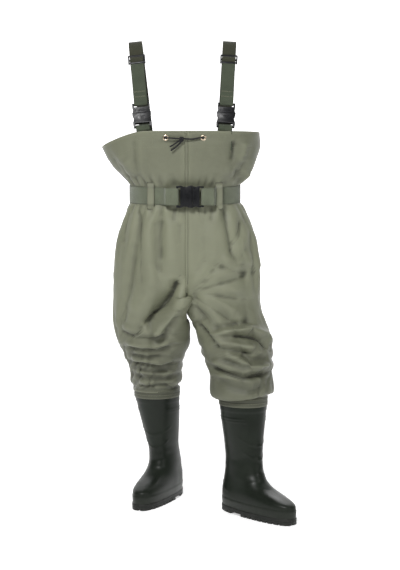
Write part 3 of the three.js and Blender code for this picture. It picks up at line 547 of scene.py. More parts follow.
def hem_height(angle):
    share = power(np.clip(-np.cos(angle), 0, 1), 2 / SQUARENESS)
    return HEM - WING_DROP * np.clip((share - 0.48) / 0.52, 0, 1) ** 1.3


def belt_height(y):
    return WAIST + BELT_SLOPE * y


def leg_centre(name, z):
    side, table = SIDES[name], LEGS[name]
    share = np.clip((CROTCH - z) / (CROTCH - BOOT_TOP - 0.0253), 0, 1)
    x = side["sign"] * HIP / 2 * (1 - share) + side["top"][0] * share + eased(share, table, 3, 0.06)
    y = side["top"][1] * share + eased(share, table, 4, 0.06)
    return share, x, y


def leg_point(name, angle, z, out=0.0):
    angle, z = np.broadcast_arrays(np.asarray(angle, float), np.asarray(z, float))
    side, table = SIDES[name], LEGS[name]
    share, x, y = leg_centre(name, z)
    c, s = np.cos(angle), np.sin(angle)
    round_x = x + side["sign"] * (eased(share, table, 1, 0.06) + out) * c
    round_y = y + (eased(share, table, 2, 0.06) + out) * s
    tuck = boot_rim(name, side["sign"] * c, s, -0.001)
    tucked = 1 - smoothstep(z, BOOT_TOP + 0.022, BOOT_TOP + 0.055)
    round_x = round_x * (1 - tucked) + tuck[..., 0] * tucked
    round_y = round_y * (1 - tucked) + tuck[..., 1] * tucked
    reach = TORSO[0, 1] + out
    depth = np.where(s < 0, TORSO[0, 3], TORSO[0, 4]) + out
    split_x = side["sign"] * reach * np.clip(c, 0, None) ** (2 / SQUARENESS)
    split_y = depth * power(s, 2 / SQUARENESS)
    w = smoothstep(share, 0, 0.27)
    return np.stack([split_x * (1 - w) + round_x * w, split_y * (1 - w) + round_y * w, z], -1)


# ---- The boot's sections: height, reach to the toe, reach to the heel, half width ----
BOOT = np.array([
    (0.000, 0.211, 0.075, 0.050), (0.020, 0.211, 0.075, 0.050), (0.045, 0.212, 0.077, 0.053),
    (0.057, 0.209, 0.077, 0.0525), (0.069, 0.166, 0.077, 0.052), (0.083, 0.114, 0.074, 0.049),
    (0.102, 0.085, 0.070, 0.046), (0.130, 0.074, 0.065, 0.043), (0.165, 0.071, 0.064, 0.042),
    (0.220, 0.070, 0.067, 0.052),
    (0.280, 0.073, 0.073, 0.062), (BOOT_TOP, 0.074, 0.074, 0.067),
])
ANKLE = 0.110
HEEL = 0.074


def foot_plan(name, centre, forward, across, z):
    yaw = SIDES[name]["sign"] * math.radians(SIDES[name]["toe_out"])
    x = centre[0] + forward * math.sin(yaw) + across * math.cos(yaw)
    y = centre[1] - forward * math.cos(yaw) + across * math.sin(yaw)
    return np.stack(np.broadcast_arrays(x, y, np.asarray(z, float)), -1)


def boot_centre(name, z):
    share = np.clip((np.asarray(z, float) - ANKLE) / (BOOT_TOP - ANKLE), 0, 1)
    side = SIDES[name]
    return [side["ankle"][k] * (1 - share) + side["top"][k] * share for k in (0, 1)]


def boot_point(name, angle, z, out=0.0):
    """A point of the boot's outside; the angle runs from the toe."""
    angle, z = np.broadcast_arrays(np.asarray(angle, float), np.asarray(z, float))
    toe, heel, half = (eased(z, BOOT, k, 0.006) for k in (1, 2, 3))
    c, s = np.cos(angle), np.sin(angle)
    low = 1 - smoothstep(z, 0.070, 0.150)
    bend = 1 - 0.2 * low
    forward = np.where(c > 0, toe + out, heel + out) * np.sign(c) * np.abs(c) ** bend
    narrow = 1 - 0.16 * low * smoothstep(-forward, -0.040, HEEL)
    inner = np.where(s * SIDES[name]["sign"] < 0, 0.93, 1.03)
    across = (half + out) * narrow * np.sign(s) * np.abs(s) ** bend * (1 + (inner - 1) * low)
    return foot_plan(name, boot_centre(name, z), forward, across, z)


def boot_rim(name, dx, dy, out):
    """Where the rim of the boot lies in a direction from its middle."""
    yaw = SIDES[name]["sign"] * math.radians(SIDES[name]["toe_out"])
    forward = dx * math.sin(yaw) - dy * math.cos(yaw)
    across = dx * math.cos(yaw) + dy * math.sin(yaw)
    radius = 1 / np.sqrt((forward / (BOOT[-1, 1] + out)) ** 2 + (across / (BOOT[-1, 3] + out)) ** 2)
    top = SIDES[name]["top"]
    return np.stack([top[0] + dx * radius, top[1] + dy * radius], -1)


# ---- The garment as one sheet: torso rings that part into two legs at the crotch ----
def garment_grid():
    """Vertices, and the index of every ring: torso[row][side][step] and legs[side][row][step]."""
    places = []

    def put(points):
        first = len(places)
        places.extend(points.tolist())
        return list(range(first, first + len(points)))

    quarter = math.pi / 2
    sweep = np.linspace(0, 1, HALF + 1)
    torso = []
    for row in range(TORSO_ROWS + 1):
        rings = {}
        for name, turn in (("left", 1), ("right", -1)):
            angle = -quarter + turn * math.pi * sweep
            height = CROTCH + (hem_height(angle) - CROTCH) * row / TORSO_ROWS
            points = torso_point(angle, height)
            if name == "left":
                rings[name] = put(points)
            else:
                rings[name] = [rings["left"][0], *put(points[1:-1]), rings["left"][-1]]
        torso.append(rings)
    depth = np.linspace(TORSO[0, 4], -TORSO[0, 3], INNER + 1)[1:-1]
    bridge = put(np.stack([0 * depth, depth, np.full(len(depth), CROTCH - 0.005)], -1))
    legs = {}
    for name in SIDES:
        rows = [torso[0][name] + bridge]
        for row in range(1, LEG_ROWS + 1):
            z = CROTCH + (LEG_END - CROTCH) * row / LEG_ROWS
            outer = -quarter + math.pi * sweep
            inner = quarter + math.pi * np.linspace(0, 1, INNER + 1)[1:-1]
            angle = np.concatenate([outer, inner])
            rows.append(put(leg_point(name, angle, np.full(len(angle), z))))
        legs[name] = rows
    return np.array(places), torso, legs


def side_faces(name, torso, legs):
    faces = []
    for low, high in zip(torso[:-1], torso[1:]):
        faces += [(low[name][i], low[name][i + 1], high[name][i + 1], high[name][i]) for i in range(HALF)]
    for high, low in zip(legs[name][:-1], legs[name][1:]):
        count = len(high)
        faces += [(low[i], low[(i + 1) % count], high[(i + 1) % count], high[i]) for i in range(count)]
    return faces if name == "left" else [face[::-1] for face in faces]


def spare_cloth(points, torso, legs):
    """The sheet as it was cut: longer legs and a little more width than the place it hangs in."""
    rest = points.copy()
    for rows in legs.values():
        drop, previous = 0.0, CROTCH
        for row in rows[1:]:
            z = points[row[0], 2]
            x, y = points[row].mean(0)[:2]
            stretch = 1.05 + 0.48 * float(smoothstep(z, 0.57, 0.46)) - 0.25 * float(smoothstep(z, 0.37, 0.34))
            drop += (previous - z) * stretch
            previous = z
            wide = 1.05 + 0.05 * float(smoothstep(z, 0.56, 0.42))
            rest[row, 0] = x + (points[row, 0] - x) * wide
            rest[row, 1] = y + (points[row, 1] - y) * wide
            rest[row, 2] = CROTCH - drop
    for rings in torso[1:]:
        both = rings["left"] + rings["right"][1:-1]
        z = points[both, 2]
        wide = 1.035 + 0.07 * np.exp(-(((z - WAIST) / 0.06) ** 2))
        rest[both, 0] *= wide
        rest[both, 1] *= wide
        rest[both, 2] = CROTCH + (z - CROTCH) * 1.04
    return rest


def drape(points, torso, legs, frames=24):
    """The sheet's vertices, once Blender's cloth has settled between its belt, hem and cuffs."""
    faces = side_faces("left", torso, legs) + side_faces("right", torso, legs)
    obj = mesh_object("drape", points - np.array(ORIGIN), faces)
    obj.shape_key_add(name="Basis")
    rest = obj.shape_key_add(name="cut")
    rest.data.foreach_set("co", spare_cloth(points, torso, legs).astype(np.float32).ravel())
    z = points[:, 2]
    belt = belt_height(points[:, 1])
    hold = np.maximum(0.035, 1 - smoothstep(np.abs(z - belt), 0.026, 0.040))
    for rings in torso[TORSO_ROWS - 14:-2]:
        ids = rings["left"] + rings["right"]
        hold[ids] = np.maximum(hold[ids], 0.10)
    for rings in torso[-2:]:
        hold[rings["left"] + rings["right"]] = 1
    for rows in legs.values():
        for row in rows[-2:]:
            hold[row] = 1
    group = obj.vertex_groups.new(name="hold")
    for i, w in enumerate(hold):
        group.add([i], float(w), "REPLACE")
    cloth = obj.modifiers.new("cloth", "CLOTH")
    s = cloth.settings
    s.rest_shape_key = rest
    s.vertex_group_mass = "hold"
    s.pin_stiffness = 6
    s.quality = 8
    s.mass = 0.25
    s.air_damping = 2
    s.tension_stiffness = 25
    s.compression_stiffness = 25
    s.shear_stiffness = 8
    s.bending_stiffness = 0.8
    s.tension_damping = 8
    s.compression_damping = 8
    s.shear_damping = 8
    s.bending_damping = 1
    s.use_pressure = True
    s.uniform_pressure_force = 0.35
    s.effector_weights.gravity = 0.6
    cloth.collision_settings.use_collision = False
    cloth.collision_settings.use_self_collision = True
    cloth.collision_settings.self_distance_min = 0.004
    cloth.collision_settings.self_friction = 10
    cloth.point_cache.frame_start = 1
    cloth.point_cache.frame_end = frames + 2
    scene = bpy.context.scene
    for step in range(1, frames + 1):
        scene.frame_set(step)
    result = obj.evaluated_get(bpy.context.evaluated_depsgraph_get())
    settled = np.empty(len(points) * 3, np.float32)
    result.data.vertices.foreach_get("co", settled)
    scene.frame_set(1)
    bpy.data.objects.remove(obj)
    return settled.reshape(-1, 3).astype(float)


def softened(values, edges, count, rounds):
    """Values at the vertices, averaged with their neighbours again and again."""
    degree = np.bincount(edges.ravel(), minlength=count)[:, None]
    for _ in range(rounds):
        total = np.zeros_like(values)
        for k in range(values.shape[1]):
            total[:, k] = np.bincount(edges[:, 0], values[edges[:, 1], k], count)
            total[:, k] += np.bincount(edges[:, 1], values[edges[:, 0], k], count)
        values = 0.5 * values + 0.5 * total / degree
    return values


def settled_sheet(points, torso, legs):
    """The garment's own outline, with the wrinkles that the cloth simulation gave it."""
    faces = side_faces("left", torso, legs) + side_faces("right", torso, legs)
    pairs = {tuple(sorted((face[k - 1], face[k]))) for face in faces for k in range(4)}
    pairs = np.array(sorted(pairs))
    moved = softened(drape(points, torso, legs) - points, pairs, len(points), 1)
    detail = moved - softened(moved, pairs, len(points), 70)
    clear = smoothstep(np.abs(points[:, 2] - belt_height(points[:, 1])), 0.024, 0.038)
    clear *= 1 - 0.5 * smoothstep(-points[:, 1], 0.0, 0.06) * smoothstep(0.58 - points[:, 2], 0, 0.05)
    detail *= clear[:, None]
    size = np.linalg.norm(detail, axis=1, keepdims=True)
    return points + detail * np.minimum(1, 0.013 / np.maximum(size, 1e-9))


# ---- Folds, as lines on the front: points in x and z, half width, depth; a negative depth is a ridge ----
FOLDS = {
    "right": [
        ([(-0.152, 1.108), (-0.146, 1.04), (-0.139, 0.98)], 0.006, 0.003),
        ([(-0.195, 1.035), (-0.178, 1.01), (-0.164, 0.985)], 0.009, 0.007),
        ([(-0.215, 1.055), (-0.20, 1.02), (-0.185, 0.99)], 0.008, 0.005),
        ([(-0.129, 0.912), (-0.131, 0.82), (-0.127, 0.66)], 0.009, 0.0075),
        ([(-0.105, 0.912), (-0.112, 0.86)], 0.006, 0.004),
        ([(-0.068, 0.880), (-0.070, 0.81), (-0.064, 0.745)], 0.009, 0.005),
        ([(-0.030, 0.905), (-0.036, 0.86)], 0.006, 0.004),
        ([(-0.165, 0.90), (-0.176, 0.84), (-0.180, 0.79)], 0.009, 0.005),
        ([(-0.012, 0.700), (-0.05, 0.635), (-0.100, 0.571), (-0.13, 0.545)], 0.011, 0.028),
        ([(-0.018, 0.650), (-0.06, 0.600), (-0.085, 0.555)], 0.009, 0.006),
        ([(-0.025, 0.600), (-0.055, 0.555), (-0.07, 0.52)], 0.009, 0.006),
        ([(-0.200, 0.545), (-0.15, 0.527), (-0.10, 0.525), (-0.05, 0.535)], 0.009, 0.006),
        ([(-0.185, 0.492), (-0.14, 0.487), (-0.09, 0.483), (-0.04, 0.500)], 0.0085, 0.010),
        ([(-0.165, 0.470), (-0.12, 0.462), (-0.07, 0.466)], 0.007, 0.006),
        ([(-0.170, 0.441), (-0.13, 0.437), (-0.08, 0.428), (-0.03, 0.440)], 0.0085, 0.009),
        ([(-0.150, 0.419), (-0.10, 0.412), (-0.05, 0.415)], 0.007, 0.006),
        ([(-0.162, 0.398), (-0.12, 0.394), (-0.07, 0.390), (-0.03, 0.400)], 0.0085, 0.008),
        ([(-0.150, 0.374), (-0.10, 0.370), (-0.05, 0.374)], 0.0075, 0.006),
    ],
    "left": [
        ([(0.147, 1.100), (0.143, 1.07), (0.137, 1.037)], 0.009, 0.011),
        ([(0.158, 1.018), (0.153, 1.00), (0.146, 0.982)], 0.008, 0.009),
        ([(0.175, 1.060), (0.170, 1.03), (0.160, 0.99)], 0.008, 0.006),
        ([(0.117, 0.912), (0.122, 0.846), (0.134, 0.775), (0.150, 0.745), (0.193, 0.733)], 0.009, 0.0085),
        ([(0.163, 0.868), (0.150, 0.825), (0.135, 0.785)], 0.008, 0.0065),
        ([(0.070, 0.912), (0.074, 0.865)], 0.006, 0.004),
        ([(0.090, 0.742), (0.140, 0.724), (0.190, 0.716)], 0.009, 0.008),
        ([(0.020, 0.668), (0.080, 0.684), (0.135, 0.700), (0.190, 0.716)], 0.010, 0.009),
        ([(0.012, 0.664), (0.080, 0.655), (0.160, 0.640)], 0.008, 0.006),
        ([(0.010, 0.660), (0.075, 0.618), (0.140, 0.572)], 0.008, 0.007),
        ([(0.012, 0.650), (0.060, 0.590), (0.110, 0.520)], 0.008, 0.006),
        ([(0.014, 0.668), (0.050, 0.695), (0.085, 0.735)], 0.008, 0.005),
        ([(0.036, 0.570), (0.070, 0.530), (0.105, 0.487)], 0.009, 0.010),
        ([(0.080, 0.538), (0.135, 0.550), (0.190, 0.556)], 0.009, -0.008),
        ([(0.125, 0.534), (0.180, 0.533), (0.219, 0.516), (0.245, 0.484)], 0.009, 0.012),
        ([(0.095, 0.500), (0.140, 0.492), (0.200, 0.480)], 0.008, 0.007),
        ([(0.146, 0.468), (0.187, 0.446), (0.245, 0.446)], 0.009, -0.009),
        ([(0.110, 0.465), (0.150, 0.450)], 0.008, 0.006),
        ([(0.065, 0.443), (0.117, 0.426), (0.164, 0.411), (0.205, 0.417), (0.240, 0.425)], 0.009, 0.011),
        ([(0.085, 0.405), (0.130, 0.396), (0.190, 0.386), (0.235, 0.395)], 0.008, 0.007),
    ],
}


def from_line(x, z, line):
    """Each point's distance to the left of a line in the front view, and its share of the way along."""
    best = np.full(len(x), 9.0)
    share = np.zeros(len(x))
    line = np.asarray(line, float)
    lengths = np.linalg.norm(np.diff(line, axis=0), axis=1)
    starts = np.concatenate([[0], np.cumsum(lengths)])
    for a, b, length, start in zip(line[:-1], line[1:], lengths, starts):
        t = np.clip(((x - a[0]) * (b[0] - a[0]) + (z - a[1]) * (b[1] - a[1])) / length**2, 0, 1)
        away = np.hypot(x - a[0] - t * (b[0] - a[0]), z - a[1] - t * (b[1] - a[1]))
        above = np.sign((b[0] - a[0]) * (z - a[1]) - (b[1] - a[1]) * (x - a[0]))
        nearer = away < np.abs(best)
        best = np.where(nearer, away * np.where(above < 0, -1, 1), best)
        share = np.where(nearer, (start + t * length) / starts[-1], share)
    return best, share


def noise_at(points, scale, seed):
    return np.array([noise.noise(Vector((p[0] * scale + seed, p[1] * scale, p[2] * scale))) for p in points])


def normals_of(vertices, faces):
    quads = np.array([face if len(face) == 4 else (*face, face[-1]) for face in faces])
    a, b, c, d = (vertices[quads[:, k]] for k in range(4))
    cross = np.cross(c - a, d - b)
    total = np.zeros_like(vertices)
    for k in range(4):
        for axis in range(3):
            total[:, axis] += np.bincount(quads[:, k], cross[:, axis], len(vertices))
    return total / np.maximum(np.linalg.norm(total, axis=1, keepdims=True), 1e-12)


def refined(vertices, faces):
    """One round of smooth subdivision."""
    obj = mesh_object("refined", vertices, faces)
    obj.modifiers.new("finer", "SUBSURF").levels = 1
    result = obj.evaluated_get(bpy.context.evaluated_depsgraph_get()).to_mesh()
    out = np.empty(len(result.vertices) * 3, np.float32)
    result.vertices.foreach_get("co", out)
    finer = [tuple(polygon.vertices) for polygon in result.polygons]
    bpy.data.objects.remove(obj)
    return out.reshape(-1, 3).astype(float) - np.array(ORIGIN), finer


def folded(name, vertices, faces):
    """Adds the long folds, the bunching over the boot and a slight crumple."""
    x, y, z = vertices.T
    normals = normals_of(vertices, faces)
    _, cx, cy = leg_centre(name, np.minimum(z, CROTCH))
    cy = np.where(z > CROTCH, 0, cy)
    front = smoothstep(cy - y, 0.0, 0.05)
    move = np.zeros(len(x))
    for line, half, depth in FOLDS[name]:
        # Folds are broad and shallow on the thighs, and crisp where the cloth bunches lower down.
        high = line[0][1] > 0.60
        half, depth = (1.9 * half, 1.15 * depth) if high else (1.35 * half, 1.35 * depth)
        away, share = from_line(x, z, line)
        away = away / half
        ends = np.maximum(smoothstep(share, 0, 0.14) * smoothstep(1 - share, 0, 0.16), 0.25)
        # A sharp valley, with a full ridge on one side and a long slope on the other.
        valley = -np.exp(-1.5 * np.abs(away + 0.35))
        dip = valley + 0.75 * np.exp(-((away - 1.25) ** 2) / 0.7) + 0.22 * np.exp(-((away + 2.6) ** 2) / 2.5)
        move += 1.1 * depth * dip * front * ends
    # Rolls of spare cloth above the boot: round ridges with sharp valleys.
    low = hump(z, 0.435, 0.115) ** 0.7
    turn = 2 * np.arctan2(y - cy, x - cx) + (0 if name == "left" else 2)
    warp = noise_at(vertices, 9, 3.1) * 1.9 + 0.5 * np.sin(turn)
    roll = np.abs(np.sin(math.pi * z / 0.040 + warp)) ** 0.8 - 0.62
    patchy = 0.55 + 0.9 * noise_at(vertices, 14, 8.3)
    back = 1 - front
    move += 0.0095 * low * roll * np.clip(patchy, 0.1, 1.3) * back
    move += 0.009 * hump(z, 0.76, 0.2) * noise_at(vertices * (1, 1, 0.4), 9, 5.7)
    chest = smoothstep(z, 0.99, 1.05) * (1 - smoothstep(z, HEM - 0.035, HEM))
    move += 0.007 * chest * noise_at(vertices * (1, 1, 0.5), 10, 1.9)
    # Gathers where the belt draws the cloth in.
    belt = np.abs(z - belt_height(y))
    around = np.arctan2(y, x)
    gather = np.exp(-(((belt - 0.040) / 0.020) ** 2))
    pleats = np.sin(31 * around + 3 * np.sin(5 * around))
    move += 0.0024 * gather * (pleats + 0.5 * noise_at(vertices, 60, 2.2))
    move += 0.0010 * noise_at(vertices, 34, 4.4)
    still = smoothstep(belt, 0.024, 0.034) * smoothstep(z, BOOT_TOP + 0.020, BOOT_TOP + 0.040)
    still = still * np.where(z > CROTCH, smoothstep(np.abs(x), 0.003, 0.020), 1)
    still = still * (1 - 0.8 * smoothstep(z, HEM - 0.03, HEM - 0.01))
    out = vertices + normals * (move * still)[:, None]
    # Five millimetres fuller from below the belt down to the shins.
    out += normals * (0.005 * smoothstep(WAIST - 0.03 - z, 0, 0.12) * smoothstep(z, 0.40, 0.50))[:, None]
    # The last roll hangs over the boot, most of all on the wearer's left.
    droop = (1.0 if name == "left" else 0.35) * hump(z, 0.374, 0.030)
    out += normals * (0.012 * droop)[:, None]
    out[:, 2] -= 0.023 * droop * (0.8 + 0.5 * noise_at(vertices, 12, 6.6))
    return out


def add_garment():
    points, torso, legs = garment_grid()
    points = settled_sheet(points, torso, legs)
    sheets = []
    for name in SIDES:
        faces = side_faces(name, torso, legs)
        used = sorted({i for face in faces for i in face})
        index = {old: new for new, old in enumerate(used)}
        vertices, faces = refined(points[used], [tuple(index[i] for i in face) for face in faces])
        vertices = folded(name, vertices, faces)
        sheets.append((vertices, faces))
        obj = mesh_object(f"garment_{name}", vertices, faces, "cloth")
        x, y = (SIDES[name]["top"][k] for k in (0, 1))
        nodes = [f"{part}_{name}" for part in ("front_panel", "back_panel", "thigh", "knee", "lower_leg")]
        if name == "right":
            nodes.append("crotch_gusset")
        keep(obj, ("root", f"shin_{name}"), nodes, ((x, y, 0.545), (x, y, 0.420)))
        wall = obj.modifiers.new("thickness", "SOLIDIFY")
        wall.thickness = 0.0014
        wall.offset = -1
    vertices, faces, _ = merged(sheets)
    return vertices, faces, points, torso


cloth_vertices, cloth_faces, cloth_points, cloth_torso = add_garment()
CLOTH_TREE = BVHTree.FromPolygons([Vector(v) for v in cloth_vertices], cloth_faces)


def on_cloth(x, z, back=False, lift=0.0):
    """The cloth's outside at x and z, seen from the front or the back, and its normal."""
    turn = 1 if back else -1
    hit, normal, _, _ = CLOTH_TREE.ray_cast(Vector((x, turn * 0.6, z)), Vector((0, -turn, 0)))
    if hit is None:
        hit, normal = Vector((x, turn * 0.12, z)), Vector((0, turn, 0))
    if normal.y * turn < 0:
        normal = -normal
    return np.array(hit + normal * lift), np.array(normal)


def cloth_line(points, steps, back=False, lift=0.0):
    """A line on the cloth through points in x and z: its places and normals, smoothed."""
    line = curve_through(points, steps)
    pairs = [on_cloth(x, z, back, lift) for x, z in line]
    places, normals = (np.array([pair[k] for pair in pairs]) for k in (0, 1))
    for _ in range(2):
        normals[1:-1] = unit(normals[:-2] + normals[1:-1] + normals[2:])
        places[1:-1] = 0.25 * places[:-2] + 0.5 * places[1:-1] + 0.25 * places[2:]
    return places, normals


def taped(places, normals, width, thickness):
    """A flat tape lying on the cloth."""
    tangent = unit(np.gradient(places, axis=0))
    return band(places + normals * thickness / 2, -np.cross(normals, tangent), width, thickness)


# ---- Seams, hem and stitching on the cloth ----
def add_seams():
    seams, stitches, normals = [], [], []
    for back in (False, True):
        low = CROTCH + (0.012 if not back else 0.008)
        places, out = cloth_line([(0.0, HEM - 0.002), (0.0, WAIST), (0.0, low)], 120, back)
        seams.append(taped(places, out, 0.0095, 0.0011))
        for side in (-0.0034, 0.0034):
            stitches.append(places + (side, 0, 0) + out * 0.0011)
            normals.append(out)
        # The hem's turning and its line of stitches.
        for x0, x1, drop in ((-0.236, 0.200, 0.046), (-0.240, 0.203, 0.006)):
            row = [(x, hem_at(x, back) - drop) for x in np.linspace(x0, x1, 19)]
            places, out = cloth_line(row, 200, back, 0.0002)
            stitches.append(places)
            normals.append(out)
    # The boxes of stitches that hold the braces' ends.
    for x0, x1, drop in ((-0.152, -0.098, 0.018), (0.090, 0.136, 0.016)):
        high, low = HEM - drop, HEM - drop - 0.030
        for back in (False, True):
            corners = [(x0, high), (x1, high), (x1, low), (x0, low), (x0, high), (x1, low)]
            for a, b in zip(corners[:-1], corners[1:]):
                places, out = cloth_line([a, ((a[0] + b[0]) / 2, (a[1] + b[1]) / 2), b], 12, back, 0.0002)
                stitches.append(places)
                normals.append(out)
    keep(mesh_object("centre_seam", *merged(seams)[:2], "cloth", merged(seams)[2]), "root")
    made = dashes(stitches, normals)
    keep(mesh_object("hem_stitching", *made[:2], "thread"), "root")
    # Side seams of the bib, as narrow ridges.
    sides = []
    for name in SIDES:
        found, facing = [], []
        for rings in cloth_torso:
            hit, normal, _, _ = CLOTH_TREE.find_nearest(Vector(cloth_points[rings[name][HALF // 2]]))
            found.append(hit)
            facing.append(normal if normal.x * SIDES[name]["sign"] > 0 else -normal)
        sides.append(taped(curve_through(found, 90), unit(curve_through(facing, 90)), 0.007, 0.0009))
    made = merged(sides)
    keep(mesh_object("side_seams", *made[:2], "cloth", made[2]), "root")


def hem_at(x, back):
    return float(hem_height(angle_at(x, HEM - 0.01, back)))


add_seams()


# ---- Hem edge: a rolled binding right round the top of the bib ----
def add_binding():
    angles = np.linspace(-math.pi / 2, 1.5 * math.pi, 241)[:-1]
    rings = []
    for turn in np.linspace(0, math.tau, 11)[:-1]:
        out = 0.0011 * math.cos(turn)
        ring = torso_point(angles, hem_height(angles), out - 0.0007)
        ring[:, 2] += 0.0032 * math.sin(turn) - 0.0020
        rings.append(ring)
    vertices, faces = rings_mesh(rings)
    count = len(angles)
    last = (len(rings) - 1) * count
    faces += [(last + k, last + (k + 1) % count, (k + 1) % count, k) for k in range(count)]
    keep(mesh_object("hem_binding", vertices, faces, "cloth"), "root")


add_binding()


# ---- Belt ----
BELT_WIDTH = 0.050
BELT_THICKNESS = 0.0022
# The webbing round a buckle's bar: along from the bar's outer face, and out.
WRAP_TURN = np.array([
    (-0.030, -0.0011), (-0.016, -0.0016), (-0.006, -0.0032), (0.0005, -0.0040), (0.0032, -0.0038),
    (0.0056, -0.0024), (0.0063, 0.0), (0.0056, 0.0024), (0.0032, 0.0038), (0.0005, 0.0040),
    (-0.006, 0.0032), (-0.016, 0.0018), (-0.030, 0.0011),
])


def middle(a, b):
    return (Vector(JOINTS[a]["pos_m"]) + Vector(JOINTS[b]["pos_m"])) / 2 - ORIGIN


def frame_matrix(place, across, along):
    """Axes of a buckle: X across the webbing, Y from the socket to the plug, Z outward."""
    across = across.normalized()
    along = (along - across * along.dot(across)).normalized()
    out = across.cross(along)
    matrix = Matrix((across, along, out)).transposed().to_4x4()
    matrix.translation = place
    return matrix


PRONG_PIVOT = 0.0052  # the prongs' hinges, from the buckle's middle
pull = Vector(JOINTS["belt_release"]["axis"])
BELT_FRAME = frame_matrix(
    middle("belt_prong_upper_press", "belt_prong_lower_press") - pull * PRONG_PIVOT,
    Vector((0, 0, -1)),
    pull,
)
BELT_HALF = 0.040  # half the belt buckle's length


def placed(matrix, points):
    points = np.asarray(points, float)
    return points @ np.array(matrix.to_3x3()).T + np.array(matrix.translation)


def add_belt():
    centre = BELT_FRAME.translation
    lift = -centre.y - float(eased(WAIST, TORSO, 3, 0.018))
    ends = {-1: centre.x - BELT_HALF, 1: centre.x + BELT_HALF}

    def wrap(sign, flip):
        """Points from behind the bar round to its front; sign says which end of the buckle."""
        points = [(0, sign * (BELT_HALF - along), out * flip) for along, out in WRAP_TURN]
        return placed(BELT_FRAME, points)

    def run(a, b, steps):
        out = []
        for angle in np.linspace(a, b, steps):
            x = float(torso_point(angle, WAIST)[0])
            away = max(ends[-1] - x, x - ends[1])
            rise = lift * (1 - float(smoothstep(away, 0.002, 0.050))) if math.sin(angle) < 0 else 0.0
            p = torso_point(angle, WAIST, 0.0026 + rise)
            out.append((p[0], p[1], belt_height(p[1])))
        return np.array(out)

    joint = angle_at(ends[1] + 0.040, WAIST)
    start = angle_at(ends[-1] - 0.030, WAIST)
    around = run(start, joint - math.tau + 0.004, 200)
    path = np.vstack([curve_through(np.vstack([wrap(-1, 1), around[:1]]), 70)[:-1], around])
    turned = unit(np.gradient(path, axis=0))
    # Across the webbing is upright and square to its run; the bib flares above and below the waist, but the
    # webbing is not tipped with it.
    across = np.cross(turned, np.cross((0, 0, 1.0), turned))
    obj = strip("belt", path, across, BELT_WIDTH, BELT_THICKNESS, "belt")
    keep(obj, "root", ["belt_webbing"])
    near = run(joint + 0.01, angle_at(ends[1] + 0.030, WAIST), 6)
    path = np.vstack([near, curve_through(np.vstack([near[-1:], wrap(1, -1)[::-1]]), 70)[1:]])
    obj = strip("belt_front", path, (0, 0, 1), BELT_WIDTH, BELT_THICKNESS, "belt")
    low = (ends[1] + 0.036, centre.y, centre.z)
    high = (ends[1] - 0.002, centre.y, centre.z)
    keep(obj, ("root", "belt_plug"), ["belt_webbing_front"], (low, high))

    parts, bars = [], []
    for name, x, back in (
        ("front_right", -0.105, False), ("front_left", 0.095, False),
        ("back_right", -0.095, True), ("back_left", 0.095, True),
    ):
        share = np.linspace(0, 1, 40)
        top = torso_point(angle_at(x, WAIST, back), WAIST)
        mid = belt_height(top[1])
        rows = []
        for s in share:
            z = mid + (s - 0.5) * 0.078
            surface, normal = on_cloth(x, z, back)
            outside = torso_point(angle_at(x, z, back), z)
            over = 0.0098 * float(smoothstep(0.5 - abs(s - 0.5), 0.06, 0.17))
            base = surface if abs(s - 0.5) > 0.34 else outside
            rows.append(base + np.array((0, normal[1], 0)) * (0.0012 + over))
        rows = np.array(rows)
        for _ in range(3):
            rows[1:-1] = (rows[:-2] + rows[1:-1] + rows[2:]) / 3
        rows[:, 0] = x
        obj = strip(f"loop_{name}", rows, (1 if not back else -1, 0, 0), 0.022, 0.0016, "cloth")
        keep(obj, "root", [f"belt_loop_{name}"])
        for s in (2, 5, 34, 37):
            across = np.linspace(-0.0095, 0.0095, 8)[:, None] * np.array((1.0, 0, 0))
            facing = np.array([(0, 1.0 if back else -1.0, 0)] * 8)
            parts.append(rows[s] + across + facing * 0.0009)
            bars.append(facing)
    made = dashes(parts, bars, 0.0022, 0.0004, 0.0011, 0.0007)
    keep(mesh_object("loop_bartacks", *made[:2], "thread"), "root")


add_belt()


# ---- Moulded plastic ----
def moulded(node, body, matrix, cuts, warp, bevel=0.0007):
    """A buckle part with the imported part's shape, cut finely along the webbing, warped and rounded."""
    source = frame["nodes"][node]
    obj = bpy.data.objects.new(f"moulded_{node}", source.data.copy())
    bpy.context.scene.collection.objects.link(obj)
    mesh = obj.data
    world = Matrix.Translation(ORIGIN) @ matrix
    mesh.transform(world.inverted() @ source.matrix_world)
    made = bmesh.new()
    made.from_mesh(mesh)
    bmesh.ops.remove_doubles(made, verts=made.verts, dist=2e-5)
    bmesh.ops.dissolve_limit(made, angle_limit=0.02, verts=made.verts, edges=made.edges)
    for edge in made.edges:
        if len(edge.link_faces) == 2 and edge.calc_face_angle(0) > 0.5:
            edge.tag = True
    sharp = [edge for edge in made.edges if edge.tag]
    rounding = {"offset": bevel, "segments": 2, "profile": 0.6, "clamp_overlap": True}
    bmesh.ops.bevel(made, geom=sharp, affect="EDGES", **rounding)
    for y in cuts:
        whole = made.verts[:] + made.edges[:] + made.faces[:]
        bmesh.ops.bisect_plane(made, geom=whole, plane_co=(0, y, 0), plane_no=(0, 1, 0), dist=1e-6)
    for vert in made.verts:
        vert.co = warp(vert.co)
    made.to_mesh(mesh)
    made.free()
    mesh.transform(world)
    mesh.materials.clear()
    mesh.materials.append(PAINTS["plastic"])
    mesh.shade_smooth()
    mesh.set_sharp_from_angle(angle=math.radians(38))
    obj.matrix_world = Matrix.Identity(4)
    return keep(obj, body, [node])


